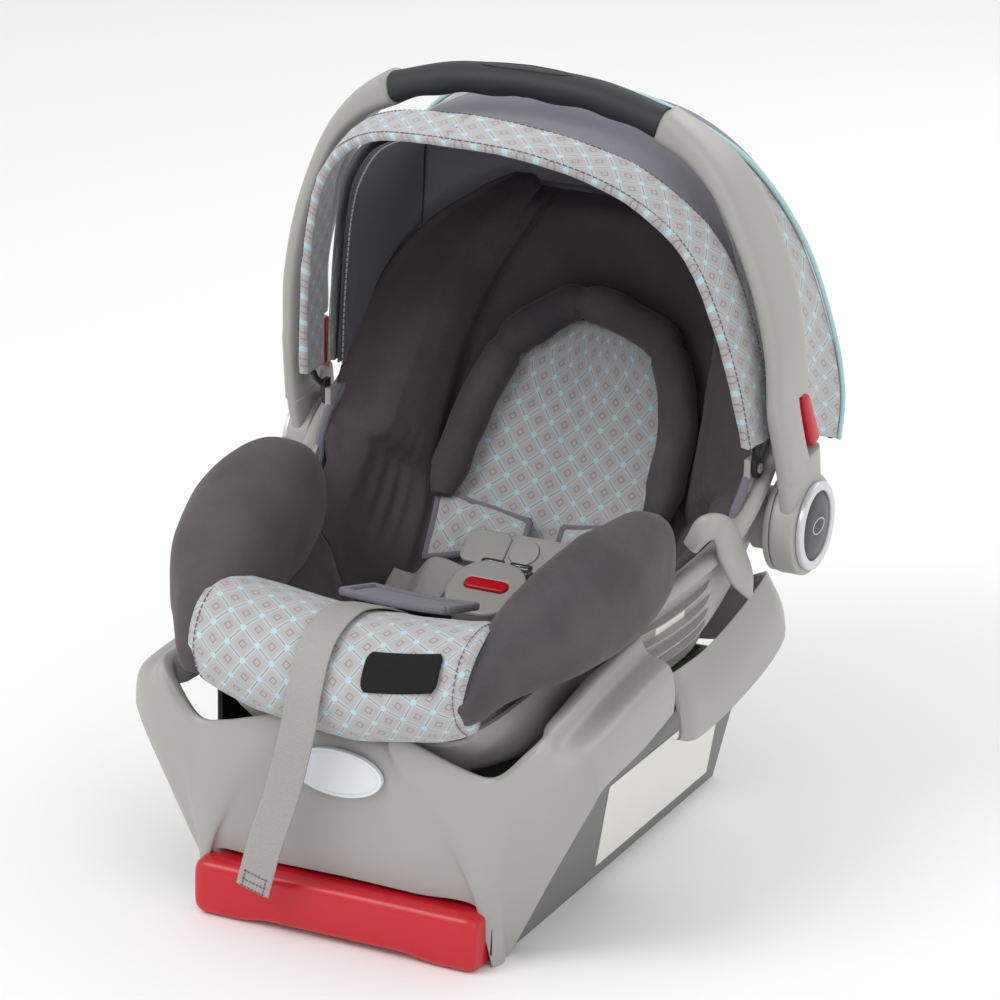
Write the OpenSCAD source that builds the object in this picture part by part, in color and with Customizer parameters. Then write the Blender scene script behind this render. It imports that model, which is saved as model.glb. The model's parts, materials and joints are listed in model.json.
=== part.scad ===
// Infant car seat: a vehicle base with a fold-down levelling foot, and a
// lift-off carrier with a swinging handle, a canopy, a padded seat and a
// five-point harness. Millimetres, +X the seat's left side as the child sits,
// +Y towards the head end, +Z up, origin on the floor on the centre plane.

/* [Base] */
// Thickness of the moulded base walls
base_wall = 3; // [2.5:0.5:4]
// Depth of the red levelling foot from front to back
foot_depth = 40; // [34:1:42]
// Radius of the steel latch bars in the base
bar_r = 5; // [4:0.5:5]
/* [Carrier] */
// Thickness of the carrier's plastic shell
shell_wall = 3.5; // [3:0.5:4]
// Thickness of the energy-absorbing foam inside the shell
foam_t = 17; // [14:1:17]
// Thickness of the back pad over the foam
pad_t = 24; // [18:1:24]
/* [Handle] */
// Thickness of the soft grip
grip_t = 29; // [26:1:30]
// Radius of the round hub at each side
hub_r = 40; // [36:1:40]
// Radius of the steel pin each hub turns on
pivot_r = 8; // [6:0.5:9]
/* [Harness] */
// Width of the harness webbing
strap_w = 38; // [34:1:38]
// Thickness of the webbing
strap_t = 1.6; // [1.2:0.2:2]
/* [Hidden] */
$fn = 48;
hub_y = 146;
hub_z = 254;
pivot_y = 115;
pivot_z = 304;
// carrier shell: line under the middle, line of the rim, half width at the rim
low = [[-198, 160], [-182, 136], [-153, 119], [-100, 103], [-30, 92], [40, 92], [102, 104],
  [155, 140], [200, 195], [238, 262], [270, 332], [298, 396], [316, 440]];
rim = [[-194, 178], [-178, 188], [-142, 196], [-96, 204], [-42, 217], [6, 236], [46, 252],
  [80, 268], [112, 290], [150, 316], [190, 350], [234, 394], [292, 448]];
half = [100, 114, 122, 127, 134, 156, 172, 181, 184, 181, 171, 150, 104];
// canopy: arcs from the top of the hood down its side, front arc first
arc_front = [[0, -58, 575], [58, -46, 569], [106, -12, 546], [140, 18, 514], [160, 38, 478],
  [174, 54, 430], [184, 68, 380], [190, 80, 330]];
arc_band = [[0, -14, 585], [62, -4, 577], [114, 30, 552], [148, 60, 516], [168, 82, 478],
  [181, 98, 430], [190, 108, 380], [193, 114, 330]];
arc_tuck = [[0, -16, 573], [60, -6, 565], [109, 28, 542], [142, 58, 507], [161, 82, 471],
  [174, 98, 428], [182, 108, 380], [186, 114, 332]];
arc_mid = [[0, 80, 564], [62, 82, 558], [112, 96, 540], [146, 116, 505], [168, 134, 466],
  [180, 148, 420], [187, 154, 370], [189, 154, 322]];
arc_pipe = [[0, 160, 574], [60, 163, 567], [108, 172, 547], [144, 195, 512], [168, 236, 448],
  [184, 262, 374], [188, 278, 320], [184, 285, 278]];
arc_dome = [[0, 272, 540], [60, 268, 532], [106, 268, 506], [140, 270, 466], [162, 280, 410],
  [176, 290, 350], [182, 294, 312], [184, 290, 284]];
arc_head = [[0, 336, 475], [60, 332, 466], [108, 322, 440], [140, 310, 404], [160, 302, 362],
  [172, 298, 325], [178, 296, 300], [180, 290, 281]];
arc_hem = [[0, 346, 405], [60, 343, 396], [108, 334, 374], [140, 322, 350], [160, 310, 325],
  [172, 302, 302], [178, 297, 288], [180, 292, 276]];
// handle: middle of the section from one hub to the top, then front, rear and side half sizes
arm = [[213, 143, 268], [213, 138, 290], [213, 133, 306], [213, 133, 307], [208, 117, 362],
  [208, 117, 363], [205, 113, 410], [191, 108, 468], [166, 100, 525], [140, 91, 556],
  [113, 85.2, 572.7], [112, 85, 573], [60, 82, 587], [0, 81, 591]];
arm_front = [30, 32, 32, 32, 31, 31, 30, 31, 29, 22, 16.5, 13, 13, 13];
arm_rear = [30, 32, 32, 12, 12, 31, 30, 33, 30, 22, 16.5, 13, 13, 13];
arm_side = [8, 8, 8, 8, 8, 8, 8.5, 8.5, 9, 11, 13.5, 10, 10, 10];
arm_steps = [0, 1, 2, 3, 3.5, 4, 5, 5.5, 6, 6.5, 7, 7.5, 8, 8.5, 9, 9.5, 10, 11, 11.5, 12, 12.5, 13];
// adjuster webbing: out from under the flap, over the seat front, down to its end
tail = [[-4, -96, 219], [-4, -114, 227], [-4, -160, 247.5], [-5, -200, 256.5], [-6, -236, 245],
  [-8, -252, 213], [-14, -251, 180], [-30, -245, 125], [-45, -244, 80], [-56, -243, 40]];

function mix(a, b, t) = a + (b - a) * t;
// smooth curve through the points of a list, t counting from 0 at the first
function curve(p, t) =
  let (n = len(p), i = max(0, min(floor(t), n - 2)), f = t - i,
    a = p[max(i - 1, 0)], b = p[i], c = p[i + 1], d = p[min(i + 2, n - 1)])
  0.5 * (2 * b + (c - a) * f + (2 * a - 5 * b + 4 * c - d) * f * f
    + (3 * b - a - 3 * c + d) * f * f * f);
function unit(v) = v / max(norm(v), 1e-9);
function total(m) = [for (q = m) 1] * m;
function facing(p, f) = total([for (t = f) p[t[0]] * cross(p[t[1]], p[t[2]])]);
// closed solid from points and triangles, turned the right way out
module solid(p, f) {
  polyhedron(p, facing(p, f) > 0 ? [for (t = f) [t[2], t[1], t[0]]] : f);
}
// two matching grids of points, joined round their four edges
module slab(a, b) {
  n = len(a);
  m = len(a[0]);
  k = n * m;
  p = concat([for (r = a) for (q = r) q], [for (r = b) for (q = r) q]);
  edge = concat([for (i = [0 : n - 2]) [i * m, (i + 1) * m]],
    [for (j = [0 : m - 2]) [(n - 1) * m + j, (n - 1) * m + j + 1]],
    [for (i = [n - 2 : -1 : 0]) [(i + 1) * m + m - 1, i * m + m - 1]],
    [for (j = [m - 2 : -1 : 0]) [j + 1, j]]);
  f = concat(
    [for (i = [0 : n - 2]) for (j = [0 : m - 2]) let (q = i * m + j)
      each [[q, q + 1, q + m + 1], [q, q + m + 1, q + m]]],
    [for (i = [0 : n - 2]) for (j = [0 : m - 2]) let (q = k + i * m + j)
      each [[q, q + m + 1, q + 1], [q, q + m, q + m + 1]]],
    [for (e = edge) each [[e[0], e[1], e[1] + k], [e[0], e[1] + k, e[0] + k]]]);
  solid(p, f);
}
// rings of points joined into a tube with closed ends
module tube(r) {
  n = len(r);
  m = len(r[0]);
  p = concat([for (q = r) for (s = q) s], [total(r[0]) / m, total(r[n - 1]) / m]);
  f = concat(
    [for (i = [0 : n - 2]) for (j = [0 : m - 1]) let (q = i * m, s = (j + 1) % m)
      each [[q + j, q + s, q + m + s], [q + j, q + m + s, q + m + j]]],
    [for (j = [0 : m - 1]) [n * m, (j + 1) % m, j]],
    [for (j = [0 : m - 1]) [n * m + 1, (n - 1) * m + j, (n - 1) * m + (j + 1) % m]]);
  solid(p, f);
}
// a tube inside a tube, joined at both ends
module sleeve(a, b) {
  n = len(a);
  m = len(a[0]);
  k = n * m;
  p = concat([for (q = a) for (s = q) s], [for (q = b) for (s = q) s]);
  f = concat(
    [for (i = [0 : n - 2]) for (j = [0 : m - 1]) let (q = i * m, s = (j + 1) % m)
      each [[q + j, q + s, q + m + s], [q + j, q + m + s, q + m + j]]],
    [for (i = [0 : n - 2]) for (j = [0 : m - 1]) let (q = k + i * m, s = (j + 1) % m)
      each [[q + j, q + m + s, q + s], [q + j, q + m + j, q + m + s]]],
    [for (j = [0 : m - 1]) let (s = (j + 1) % m) each [[j, k + s, s], [j, k + j, k + s]]],
    [for (j = [0 : m - 1]) let (q = (n - 1) * m, s = (j + 1) % m)
      each [[q + j, q + s, q + k + s], [q + j, q + k + s, q + k + j]]]);
  solid(p, f);
}
// ring round c: half sizes wa and wb along the unit directions a and b, round or boxy
function ring(c, a, wa, b, wb, m = 16, e = 1) = [for (i = [0 : m - 1])
  let (g = 360 * (i + 0.5) / m, s = sin(g), t = cos(g))
  c + a * wa * sign(t) * pow(abs(t), e) + b * wb * sign(s) * pow(abs(s), e)];
// rings along a list of points; side is a direction roughly across the path
function pipe(p, side, wa, wb, n, m = 12, e = 1) = [for (i = [0 : n])
  let (t = (len(p) - 1) * i / n, c = curve(p, t),
    d = unit(curve(p, min(t + 0.05, len(p) - 1)) - curve(p, max(t - 0.05, 0))),
    a = unit(side - d * (side * d)))
  ring(c, a, is_list(wa) ? curve(wa, (len(wa) - 1) * i / n) : wa, cross(d, a),
    is_list(wb) ? curve(wb, (len(wb) - 1) * i / n) : wb, m, e)];
// point on the carrier shell: u along it, v across it, h inwards from its outside
function shell(u, v, h) =
  let (a = abs(v) >= 1 ? 0 : 90 * (1 - abs(v)), b = curve(low, u), r = curve(rim, u),
    w = curve(half, u), d = norm(b - r), k = (b - r) / d,
    c = pow(cos(a), 0.8), s = abs(v) > 1 ? 1 - abs(v) : pow(sin(a), 0.8),
    nx = pow(cos(a), 1.2) / w, ns = pow(sin(a), 1.2) / d, q = norm([nx, ns]),
    down = s * d - h * ns / q)
  [(v < 0 ? -1 : 1) * max(w * c - h * nx / q, 0), r[0] + k[0] * down, r[1] + k[1] * down];
function patch(u0, u1, v0, v1, n, m, h) = [for (i = [0 : n]) [for (j = [0 : m])
  let (s = i / n, t = j / m) shell(mix(u0, u1, s), mix(v0, v1, t), is_function(h) ? h(s, t) : h)]];
// 0 at the edge of a cushion rising to 1 over its middle
function puff(s, t) = pow(max(0, sin(180 * s)) * max(0, sin(180 * t)), 0.35);
// canopy grid between two of its arcs, moved inwards by h
function inward(p, h) = p + h * unit([-p[0], 120 - p[1], 330 - p[2]]);
function hood(a, k0, k1, n, m, h, stop = 7) = [for (i = [0 : n])
  [for (j = [-m : m]) let (t = stop * abs(j) / m, s = mix(k0, k1, i / n),
    p = curve([for (q = a) curve(q, t)], s))
    inward([sign(j) * p[0], p[1], p[2]], h)]];
module both() {
  children();
  mirror([1, 0, 0]) children();
}
// block by its two corners
module block(a, b) {
  translate(a) cube(b - a);
}
module rod(a, r, l) {
  translate(a) rotate([0, 90, 0]) cylinder(r = r, h = l);
}
light = "#b9b8b5";
dark = "#6f6e6d";
plush = "#4c484a";
cloth = "#b9b3b2";

// ---- base ----
// front panel and its side wings: bottom edge, then top edge, from the middle outwards
front_low = [[0, -206, 49], [60, -206, 48], [112, -204, 46], [122, -202, 2], [126, -192, 0],
  [126, -178, 4], [160, -180, 74], [188, -180, 130], [194, -168, 146], [192, -100, 149],
  [185, -27, 152]];
front_top = [[0, -209, 163], [37, -209, 163], [46, -213, 171], [96, -212, 155], [124, -209, 152],
  [148, -206, 174], [161, -198, 186], [162, -184, 190], [160, -150, 192], [156, -90, 197],
  [154, -18, 201]];
front_out = [[0, -1, 0], [0, -1, 0], [0, -1, 0], [0, -1, 0], [0.2, -1, 0], [0.4, -0.9, 0],
  [0.7, -0.7, 0], [0.9, -0.4, 0], [1, -0.1, 0], [1, 0, 0], [1, 0, 0]];
function front_wall(t, h) =
  let (a0 = curve(front_low, t), a = [a0[0], a0[1], max(a0[2], 0.3)], b = curve(front_top, t),
    o = unit(curve(front_out, t)),
    full = min(1, max(0, (t - 4) / 3)), in = b - o * (9 + 5 * full - 7 * max(0, t - 9)), swell = 5 + 9 * full)
  [a - o * h, mix(a, b, 0.35) + o * (swell * 0.7 - h), mix(a, b, 0.7) + o * (swell - h),
    b + o * (2 + 3 * full - h) - [0, 0, 9], b + o * (-1 - 0.7 * h) + [0, 0, -0.7 * h],
    mix(b, in, 0.5) + [0, 0, 1 + full - h], in + o * 0.7 * h - [0, 0, 3 + 0.7 * h],
    in - o * (2 - h) - [0, 0, 14 + 10 * full]];
module base_front_shell() {
  color(light) slab(
    [for (i = [-30 : 30]) [for (q = front_wall(abs(i) / 3, 0)) [sign(i) * q[0], q[1], q[2]]]],
    [for (i = [-30 : 30]) [for (q = front_wall(abs(i) / 3, base_wall)) [sign(i) * q[0], q[1], q[2]]]]);
}
// rear rim: bottom edge and top edge from the middle of the back round to the front tip
back_low = [[0, 214, 112], [60, 214, 114], [120, 214, 120], [166, 208, 132], [183, 194, 138],
  [188, 160, 130], [190, 105, 123], [191, 50, 119], [190, -8, 118]];
back_top = [[0, 212, 152], [60, 212, 156], [118, 211, 166], [156, 204, 184], [170, 186, 192],
  [173, 150, 186], [173, 100, 176], [173, 50, 171], [172, 2, 172]];
back_out = [[0, 1, 0], [0, 1, 0], [0.1, 1, 0], [0.6, 0.8, 0], [1, 0.3, 0], [1, 0, 0], [1, 0, 0],
  [1, 0, 0], [1, 0, 0]];
function back_wall(t, h) =
  let (a = curve(back_low, t), b = curve(back_top, t), o = unit(curve(back_out, t)))
  [a - o * (h + 6), a + o * (1 - h) + [0, 0, 3], mix(a, b, 0.5) + o * (5 - h), b + o * (2 - h) - [0, 0, 5],
    b - o * (1 + 0.5 * h) - [0, 0, 0.7 * h], b - o * 2 - [0, 0, 5 + h]];
module base_rear_rim() {
  color(light) slab(
    [for (i = [-24 : 24]) [for (q = back_wall(abs(i) / 3, 0)) [sign(i) * q[0], q[1], q[2]]]],
    [for (i = [-24 : 24]) [for (q = back_wall(abs(i) / 3, base_wall - 0.5)) [sign(i) * q[0], q[1], q[2]]]]);
}
// lower tub: sloping sides, a floor and two end walls
module tub_section(w) {
  polygon([[-120 + w, w], [120 - w, w], [146 - w, 112], [-146 + w, 112]]);
}
module base_tub() {
  color(dark) {
    translate([0, 210, 0]) rotate([90, 0, 0]) linear_extrude(366) difference() {
      polygon([[-120, 0], [120, 0], [146, 112], [-146, 112]]);
      polygon([[-116, base_wall], [116, base_wall], [143.5, 113], [-143.5, 113]]);
    }
    translate([0, 210, 0]) rotate([90, 0, 0]) linear_extrude(base_wall) tub_section(0);
    translate([0, -156 + base_wall, 0]) rotate([90, 0, 0]) linear_extrude(base_wall) tub_section(0);
  }
}
// black receiver the carrier drops into: side walls bored for the latch bars, and a floor
module base_receiver() {
  color("#1e1e20") difference() {
    union() {
      both() {
        translate([0, 206, 0]) rotate([90, 0, 0]) linear_extrude(356)
          polygon([[108, base_wall], [112, base_wall], [112, 112], [108, 112]]);
        translate([0, 40, 0]) rotate([90, 0, 0]) linear_extrude(170)
          polygon([[108, 112], [112, 112], [149, 114], [149, 138], [145, 138], [145, 118], [108, 116]]);
        block([145, -130, 138], [149, 0, 168]);
      }
      block([-108, -150, 30], [108, 206, 33]);
    }
    rod([-120, -110, 74], bar_r + 0.05, 240);
    rod([-120, 130, 74], bar_r + 0.05, 240);
  }
}
module latch_bars() {
  color("#c9ccd0") for (y = [-110, 130]) rod([-112, y, 74], bar_r, 224);
}
// oval plate on the front, no marking
module base_badge() {
  color("#e4e6ea") translate([0, -215.6, 136]) rotate([90, 0, 0]) difference() {
    translate([0, 0, -2]) linear_extrude(5) scale([1, 0.49]) circle(r = 37.5);
    translate([0, 0, 2]) linear_extrude(4) scale([1, 0.46]) circle(r = 34.5);
  }
}
// plain sticker on the sloping side of the tub
module side_label() {
  color("#ecebe6") slab(
    [for (z = [12, 88]) [for (y = [-22, 190]) [120 + 26 * z / 112 + 0.05, y - z * 0.22, z]]],
    [for (z = [12, 88]) [for (y = [-22, 190]) [120 + 26 * z / 112 + 0.6, y - z * 0.22, z]]]);
}
module base_labels() {
  both() side_label();
}
module foot_bracket() {
  color("#1e1e20") difference() {
    block([119.2, -203, 10], [122, -156, 44]);
    rod([100, -190, 26], 4.05, 60);
  }
}
module foot_brackets() {
  both() foot_bracket();
}
module foot_pin() {
  color("#b8bbc0") rod([-122, -190, 26], 4, 244);
}
// levelling foot: a bar with rounded edges, bored for its pin
function round_box(y0, z0, y1, z1, r) = [for (c = [[y1 - r, z1 - r, 0], [y0 + r, z1 - r, 90],
  [y0 + r, z0 + r, 180], [y1 - r, z0 + r, 270]]) for (a = [0 : 22.5 : 90])
  [c[0] + r * cos(a + c[2]), c[1] + r * sin(a + c[2])]];
module level_foot() {
  color("#e0002b") difference() {
    translate([-118, 0, 0]) rotate([90, 0, 90]) linear_extrude(236)
      polygon(round_box(-224, 0, -224 + foot_depth, 45, 9));
    rod([-130, -190, 26], 4.05, 260);
    block([-70, -240, -1], [70, -196, 4]);
  }
}
// ---- carrier ----
module carrier_shell() {
  color(light) slab(patch(0, 12, -1, 1, 28, 24, 0), patch(0, 12, -1, 1, 28, 24, shell_wall));
}
// rolled edge of the shell, from the front corner up to the head end
module rim_edge() {
  color(light) slab(
    [for (i = [0 : 24]) let (u = 4.6 + 7.2 * i / 24, p = shell(u, 1, 0)) [for (q = [[0.2, 0], [9, 1], [11, -8]])
      p + [q[0], 0, q[1]]]],
    [for (i = [0 : 24]) let (u = 4.6 + 7.2 * i / 24, p = shell(u, 1, 0)) [for (q = [[0.2, -3], [6, -2], [8.5, -8]])
      p + [q[0], 0, q[1]]]]);
}
module shell_rims() {
  both() rim_edge();
}
module foam_liner() {
  color("#e9e9e6") slab(patch(0.7, 11.7, -0.93, 0.93, 16, 12, shell_wall + 0.3),
    patch(0.7, 11.7, -0.93, 0.93, 16, 12, shell_wall + foam_t));
}
// saddles under the shell that sit on the base's bars
module carrier_saddles() {
  color(light) both() for (y = [-110, 130]) difference() {
    block([52, y - 14, 68], [60, y + 14, y < 0 ? 101 : 113]);
    rod([40, y, 74], bar_r + 0.4, 40);
    block([40, y - bar_r - 0.4, 60], [80, y + bar_r + 0.4, 74]);
  }
}
module latch_slide() {
  color("#8b8e92") {
    block([-12, -120, 82], [12, 156, 86]);
    for (y = [-110, 130]) block([-10, y + bar_r + 1, 66], [10, y + bar_r + 9, 82]);
  }
}
// hand lever behind the head end that draws the latch back
module release_lever() {
  color("#c41f33") difference() {
    union() {
      block([-36, 262, 214], [36, 272, 262]);
      rod([-36, 267, 262], 7, 72);
    }
    rod([-40, 267, 262], 3.05, 80);
    block([-24, 260, 220], [24, 280, 244]);
  }
}
module lever_brackets() {
  color(light) both() difference() {
    union() {
      rod([37, 267, 262], 8, 8);
      block([37, 240, 256], [45, 267, 270]);
    }
    rod([-50, 267, 262], 3, 100);
  }
}
module lever_pin() {
  color("#b8bbc0") rod([-45, 267, 262], 2.95, 90);
}
// belt guide: a hooked spout on the shell's side
module guide() {
  color(light) tube(pipe([[168, 34, 262], [178, 36, 277], [187, 42, 278], [189, 56, 262], [190, 72, 240],
    [192, 86, 222], [193, 94, 208]], [0, 0.3, 1], [7, 10, 11, 16, 15, 11, 4], [5, 5, 4.5, 4.5, 4.5, 4, 2],
    18, 12, 0.8));
}
module belt_guides() {
  both() guide();
}
module shell_label() {
  color("#ecebe6") slab(
    [for (u = [4.9, 5.5]) [for (v = [0.76, 0.9]) shell(u, v, -0.1)]],
    [for (u = [4.9, 5.5]) [for (v = [0.76, 0.9]) shell(u, v, -0.7)]]);
}
// ---- seat padding ----
// the pad reaches over the rim from the hubs upwards; wing is its raised side beside the head
function pad_edge(u) = 0.98 + 0.07 * min(1, max(0, (u - 7) / 1));
function lip(u, v) = min(1, max(0, (abs(v) - 0.94) / 0.08, (u - 11.75) / 0.3));
function wing(u, v) = let (a = (u - 7.9) / 4, b = (abs(v) - 0.46) / 0.58)
  a <= 0 || a >= 1 || b <= 0 || b >= 1 ? 0 : 20 * puff(a, b);
function raise(u, v) = let (a = (u - 8.3) / 3.9) a <= 0 || a >= 1 ? 0
  : 40 * pow(sin(180 * a), 0.8) * pow(min(1, max(0, (abs(v) - 0.6) / 0.35)), 1.5);
function pad_grid(h, top) = [for (i = [0 : 20]) let (u = 5.2 + 6.85 * i / 20) [for (j = [-10 : 10])
  let (v = pad_edge(u) * j / 10, e = lip(u, v))
  [sign(v) * 0.1 * raise(u, v), 0, raise(u, v)] + shell(u, v, mix(h, 1, e)
    + (top ? 4 + (1 - e) * ((pad_t - 4) * puff(i / 20, (j + 10) / 20) + wing(u, v)) : 0))]];
module back_pad() {
  h = shell_wall + foam_t + 0.4;
  color(plush) slab(pad_grid(h, false), pad_grid(h, true));
}
function seat_grid(h, top) = [for (i = [0 : 10]) [for (j = [-9 : 9]) let (v = 1.04 * j / 9, e = lip(5, v))
  shell(mix(1.6, 5.1, i / 10), v, mix(h, 6, e) + (top ? 4 + (1 - e) * mix(pad_t + 30, 14,
    min(1, max(0, (abs(v) - 0.55) / 0.2))) * puff(i / 10, (j + 9) / 18) : 0))]];
module seat_pad() {
  h = shell_wall + foam_t + 0.4;
  color(plush) slab(seat_grid(h, false), seat_grid(h, true));
}
// patterned front of the pad, curling down over the seat's lip
front_mid = [[-218, 166], [-238, 184], [-246, 212], [-232, 240], [-200, 252], [-160, 244], [-120, 226]];
front_in = [[-212, 174], [-219, 190], [-222, 208], [-212, 222], [-190, 230], [-160, 222], [-126, 206]];
function front_at(line, t, x, h) =
  let (p = curve(line, t), q = curve(line, t + 0.05), d = unit(q - p), e = pow(abs(x / 112), 2))
  [x, p[0] + 4 * e - h * d[1], p[1] + (20 - 2 * t) * e + h * d[0]];
module front_pad() {
  color(cloth) slab(
    [for (i = [0 : 14]) [for (j = [-7 : 7]) front_at(front_mid, 5.9 * i / 14, 16 * j, 0)]],
    [for (i = [0 : 14]) [for (j = [-7 : 7]) front_at(front_in, 5.9 * i / 14, 16 * j, 0)]]);
}
module front_tag() {
  color("#151515") slab(
    [for (i = [0 : 3]) [for (j = [0 : 4]) front_at(front_mid, 2.1 + 0.9 * i / 3, 34 + 15 * j, 0.6)]],
    [for (i = [0 : 3]) [for (j = [0 : 4]) front_at(front_mid, 2.1 + 0.9 * i / 3, 34 + 15 * j, 2)]]);
}
// plush roll beside each leg
module leg_roll(wide, high, lean) {
  color(plush) tube(pipe([for (q = [[112, -236, 206], [114, -224, 214], [119, -196, 230], [134, -150, 247],
    [146, -100, 257], [152, -50, 262], [153, -12, 263], [153, 10, 263], [153, 22, 263]]) q + [lean, 0, 0]],
    [1, 0, 0], wide * [8, 14, 22, 33, 36, 34, 28, 18, 8], high * [12, 20, 31, 44, 50, 50, 43, 26, 9], 20, 16, 0.85));
}
module leg_bolster_left() {
  leg_roll(0.93, 0.95, -2);
}
module leg_bolster_right() {
  mirror([1, 0, 0]) leg_roll(1.22, 1.12, 0);
}
// head support: a horseshoe roll lying on the back pad
roll_h = shell_wall + foam_t + pad_t + 18.5;
head_path = [for (q = [[7.5, -0.41], [8.1, -0.38], [8.75, -0.33], [9.85, -0.24], [10.33, -0.14], [10.65, -0.03],
  [10.45, 0.12], [10.14, 0.25], [9.16, 0.37], [8.3, 0.4], [7.6, 0.41]]) shell(q[0], q[1], roll_h)];
module head_roll() {
  color(plush) tube(pipe(head_path, [0, -0.85, 0.5], [8, 14, 15, 15, 15, 15, 15, 14, 8],
    [8, 14, 15, 15, 15, 15, 15, 14, 8], 36, 12));
}
// thin patterned pillow inside the horseshoe
pillow_half = [0.26, 0.33, 0.37, 0.36, 0.31, 0.23, 0.1];
function pillow_at(i, j, top) = let (w = curve(pillow_half, 6 * i / 12))
  shell(mix(6, 10.35, i / 12), w * j / 6,
    shell_wall + foam_t + pad_t + 1.2 + (top ? 2.8 + 9 * puff(i / 12, (j + 6) / 12) : 0));
module body_pillow() {
  color(cloth) slab([for (i = [0 : 12]) [for (j = [-6 : 6]) pillow_at(i, j, false)]],
    [for (i = [0 : 12]) [for (j = [-6 : 6]) pillow_at(i, j, true)]]);
}

// ---- harness ----
belt_h = shell_wall + foam_t + pad_t + 19;
module strap(p, side = [1, 0, 0], w = strap_w) {
  color("#8f8f90") tube(pipe(p, side, w / 2, strap_t / 2, 20, 8, 0.5));
}
function shoulder(s) = [shell(7.4, 0.13 * s, belt_h - 3),
  shell(7.2, 0.12 * s, belt_h), shell(7.0, 0.11 * s, belt_h), shell(6.8, 0.1 * s, belt_h + 1)];
module harness_straps() {
  for (s = [1, -1]) strap(shoulder(s));
}
module lap_strap() {
  strap([shell(5.5, 0.62, 52), shell(5.5, 0.5, 66), [62, 46, 194], [36, 40, 193]], [0, 0.8, 0.5]);
}
module lap_straps() {
  both() lap_strap();
}
function cover_at(i, j, s, top) = let (v = 0.03 + 0.39 * j / 8, a = 7.45 + 0.2 * j / 8, b = 6.98 - 0.45 * j / 8)
  shell(mix(a, b, i / 6), s * v, belt_h + 1.8 - 45 * max(0, v - 0.15)
    + (top ? 3.2 + 6 * puff(i / 6, j / 8) : 0));
module strap_cover(s) {
  color(cloth) slab([for (i = [0 : 6]) [for (j = [0 : 8]) cover_at(i, j, s, false)]],
    [for (i = [0 : 6]) [for (j = [0 : 8]) cover_at(i, j, s, true)]]);
}
module strap_covers() {
  for (s = [1, -1]) strap_cover(s);
}
// flat plate with rounded corners, centred, standing on its own floor
module plate(w, l, r) {
  square([w - 2 * r, l], center = true);
  square([w, l - 2 * r], center = true);
  for (x = [r - w / 2, w / 2 - r]) for (y = [r - l / 2, l / 2 - r]) translate([x, y]) circle(r = r);
}
module at_clip() {
  translate([0, 101, 200]) rotate([36, 0, 0]) children();
}
module chest_clip_left() {
  color(light) at_clip() difference() {
    translate([19.5, 0, 0]) linear_extrude(9) plate(67, 32, 8);
    translate([0, 0, 2.5]) cylinder(r = 12.6, h = 10);
  }
}
module chest_clip_right() {
  color(light) at_clip() translate([-34, 0, 0]) linear_extrude(9) plate(38, 32, 8);
}
module chest_clip_button() {
  color("#a9a8a6") at_clip() translate([0, 0, 5.6]) cylinder(r = 12.4, h = 5);
}
module at_buckle() {
  translate([0, 34, 184]) rotate([24, 0, 0]) children();
}
module buckle_housing() {
  color(light) at_buckle() difference() {
    linear_extrude(20) plate(62, 60, 26);
    translate([0, 2, 12]) linear_extrude(10) plate(36.4, 11.4, 5.2);
  }
}
module buckle_button() {
  color("#d61f33") at_buckle() translate([0, 2, 16.5]) linear_extrude(5) plate(36, 11, 5);
}
module tongue() {
  color("#c9ccd0") at_buckle() translate([12, 35.5, 8]) linear_extrude(2) difference() {
    plate(20, 10.5, 3);
    translate([0, 1]) square([13, 3.4], center = true);
  }
}
module buckle_tongues() {
  both() tongue();
}
module crotch_strap() {
  strap([[0, 0, 150], [0, -4, 164], [0, -4, 174], [0, 0.5, 181]]);
}
module adjuster_housing() {
  color("#3a3f41") difference() {
    block([-22, -112, 192], [22, -76, 216]);
    block([-16, -120, 202], [16, -84, 220]);
    rod([-19, -86.5, 210.5], 1.55, 38);
  }
}
module adjuster_lever() {
  color("#8b8e92") {
    block([-15, -108, 209], [15, -85, 212]);
    rod([-18.5, -86.5, 210.5], 1.5, 37);
  }
}
module adjuster_flap() {
  color(cloth) slab([for (i = [0 : 6]) [for (j = [-6 : 6]) [7.2 * j, -129 + 8.5 * i, 236 - 2.2 * i + 0.05 * j * j]]],
    [for (i = [0 : 6]) [for (j = [-6 : 6]) [7.2 * j, -129 + 8.5 * i, 240 - 2.2 * i + 0.05 * j * j]]]);
}
module adjuster_strap() {
  color("#b4b1b0") tube(pipe(tail, [1, 0, 0], 14, 0.8, 45, 8, 0.5));
}
// ---- handle ----
function arm_ring(t, grow = 0) =
  let (c = curve(arm, t), d = unit(curve(arm, min(t + 0.5, 13)) - curve(arm, max(t - 0.5, 0))),
    e = t > 12.9 ? [-1, 0, 0] : d, a = unit([0, 1, 0] - e * e[1]), f = curve(arm_front, t),
    r = curve(arm_rear, t))
  ring(c + a * (r - f) / 2, a, (f + r) / 2 + grow, cross(e, a), curve(arm_side, t) + grow, 16,
    t < 10.5 ? 0.62 : 0.9);
function over(q) = [for (p = q) [-p[0], p[1], p[2]]];
function both_arms(steps, grow = 0) = concat([for (t = steps) arm_ring(t, grow)],
  [for (i = [len(steps) - 2 : -1 : 0]) over(arm_ring(steps[i], grow))]);
module handle_frame() {
  color(light) tube(both_arms(arm_steps));
}
module handle_grip() {
  s = [11, 11.5, 12, 12.5, 13];
  color("#3a3f41") sleeve(both_arms(s, grip_t / 2 - 12.5), both_arms(s, 0.3));
}
module hub() {
  color(light) difference() {
    rod([201, hub_y, hub_z], hub_r, 20.5);
    rod([190, hub_y, hub_z], pivot_r + 0.05, 40);
  }
}
module handle_hubs() {
  both() hub();
}
module ring_trim() {
  color("#cfd0d2") difference() {
    rod([221.6, hub_y, hub_z], 35, 5);
    rod([220, hub_y, hub_z], 27.6, 10);
  }
}
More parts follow.
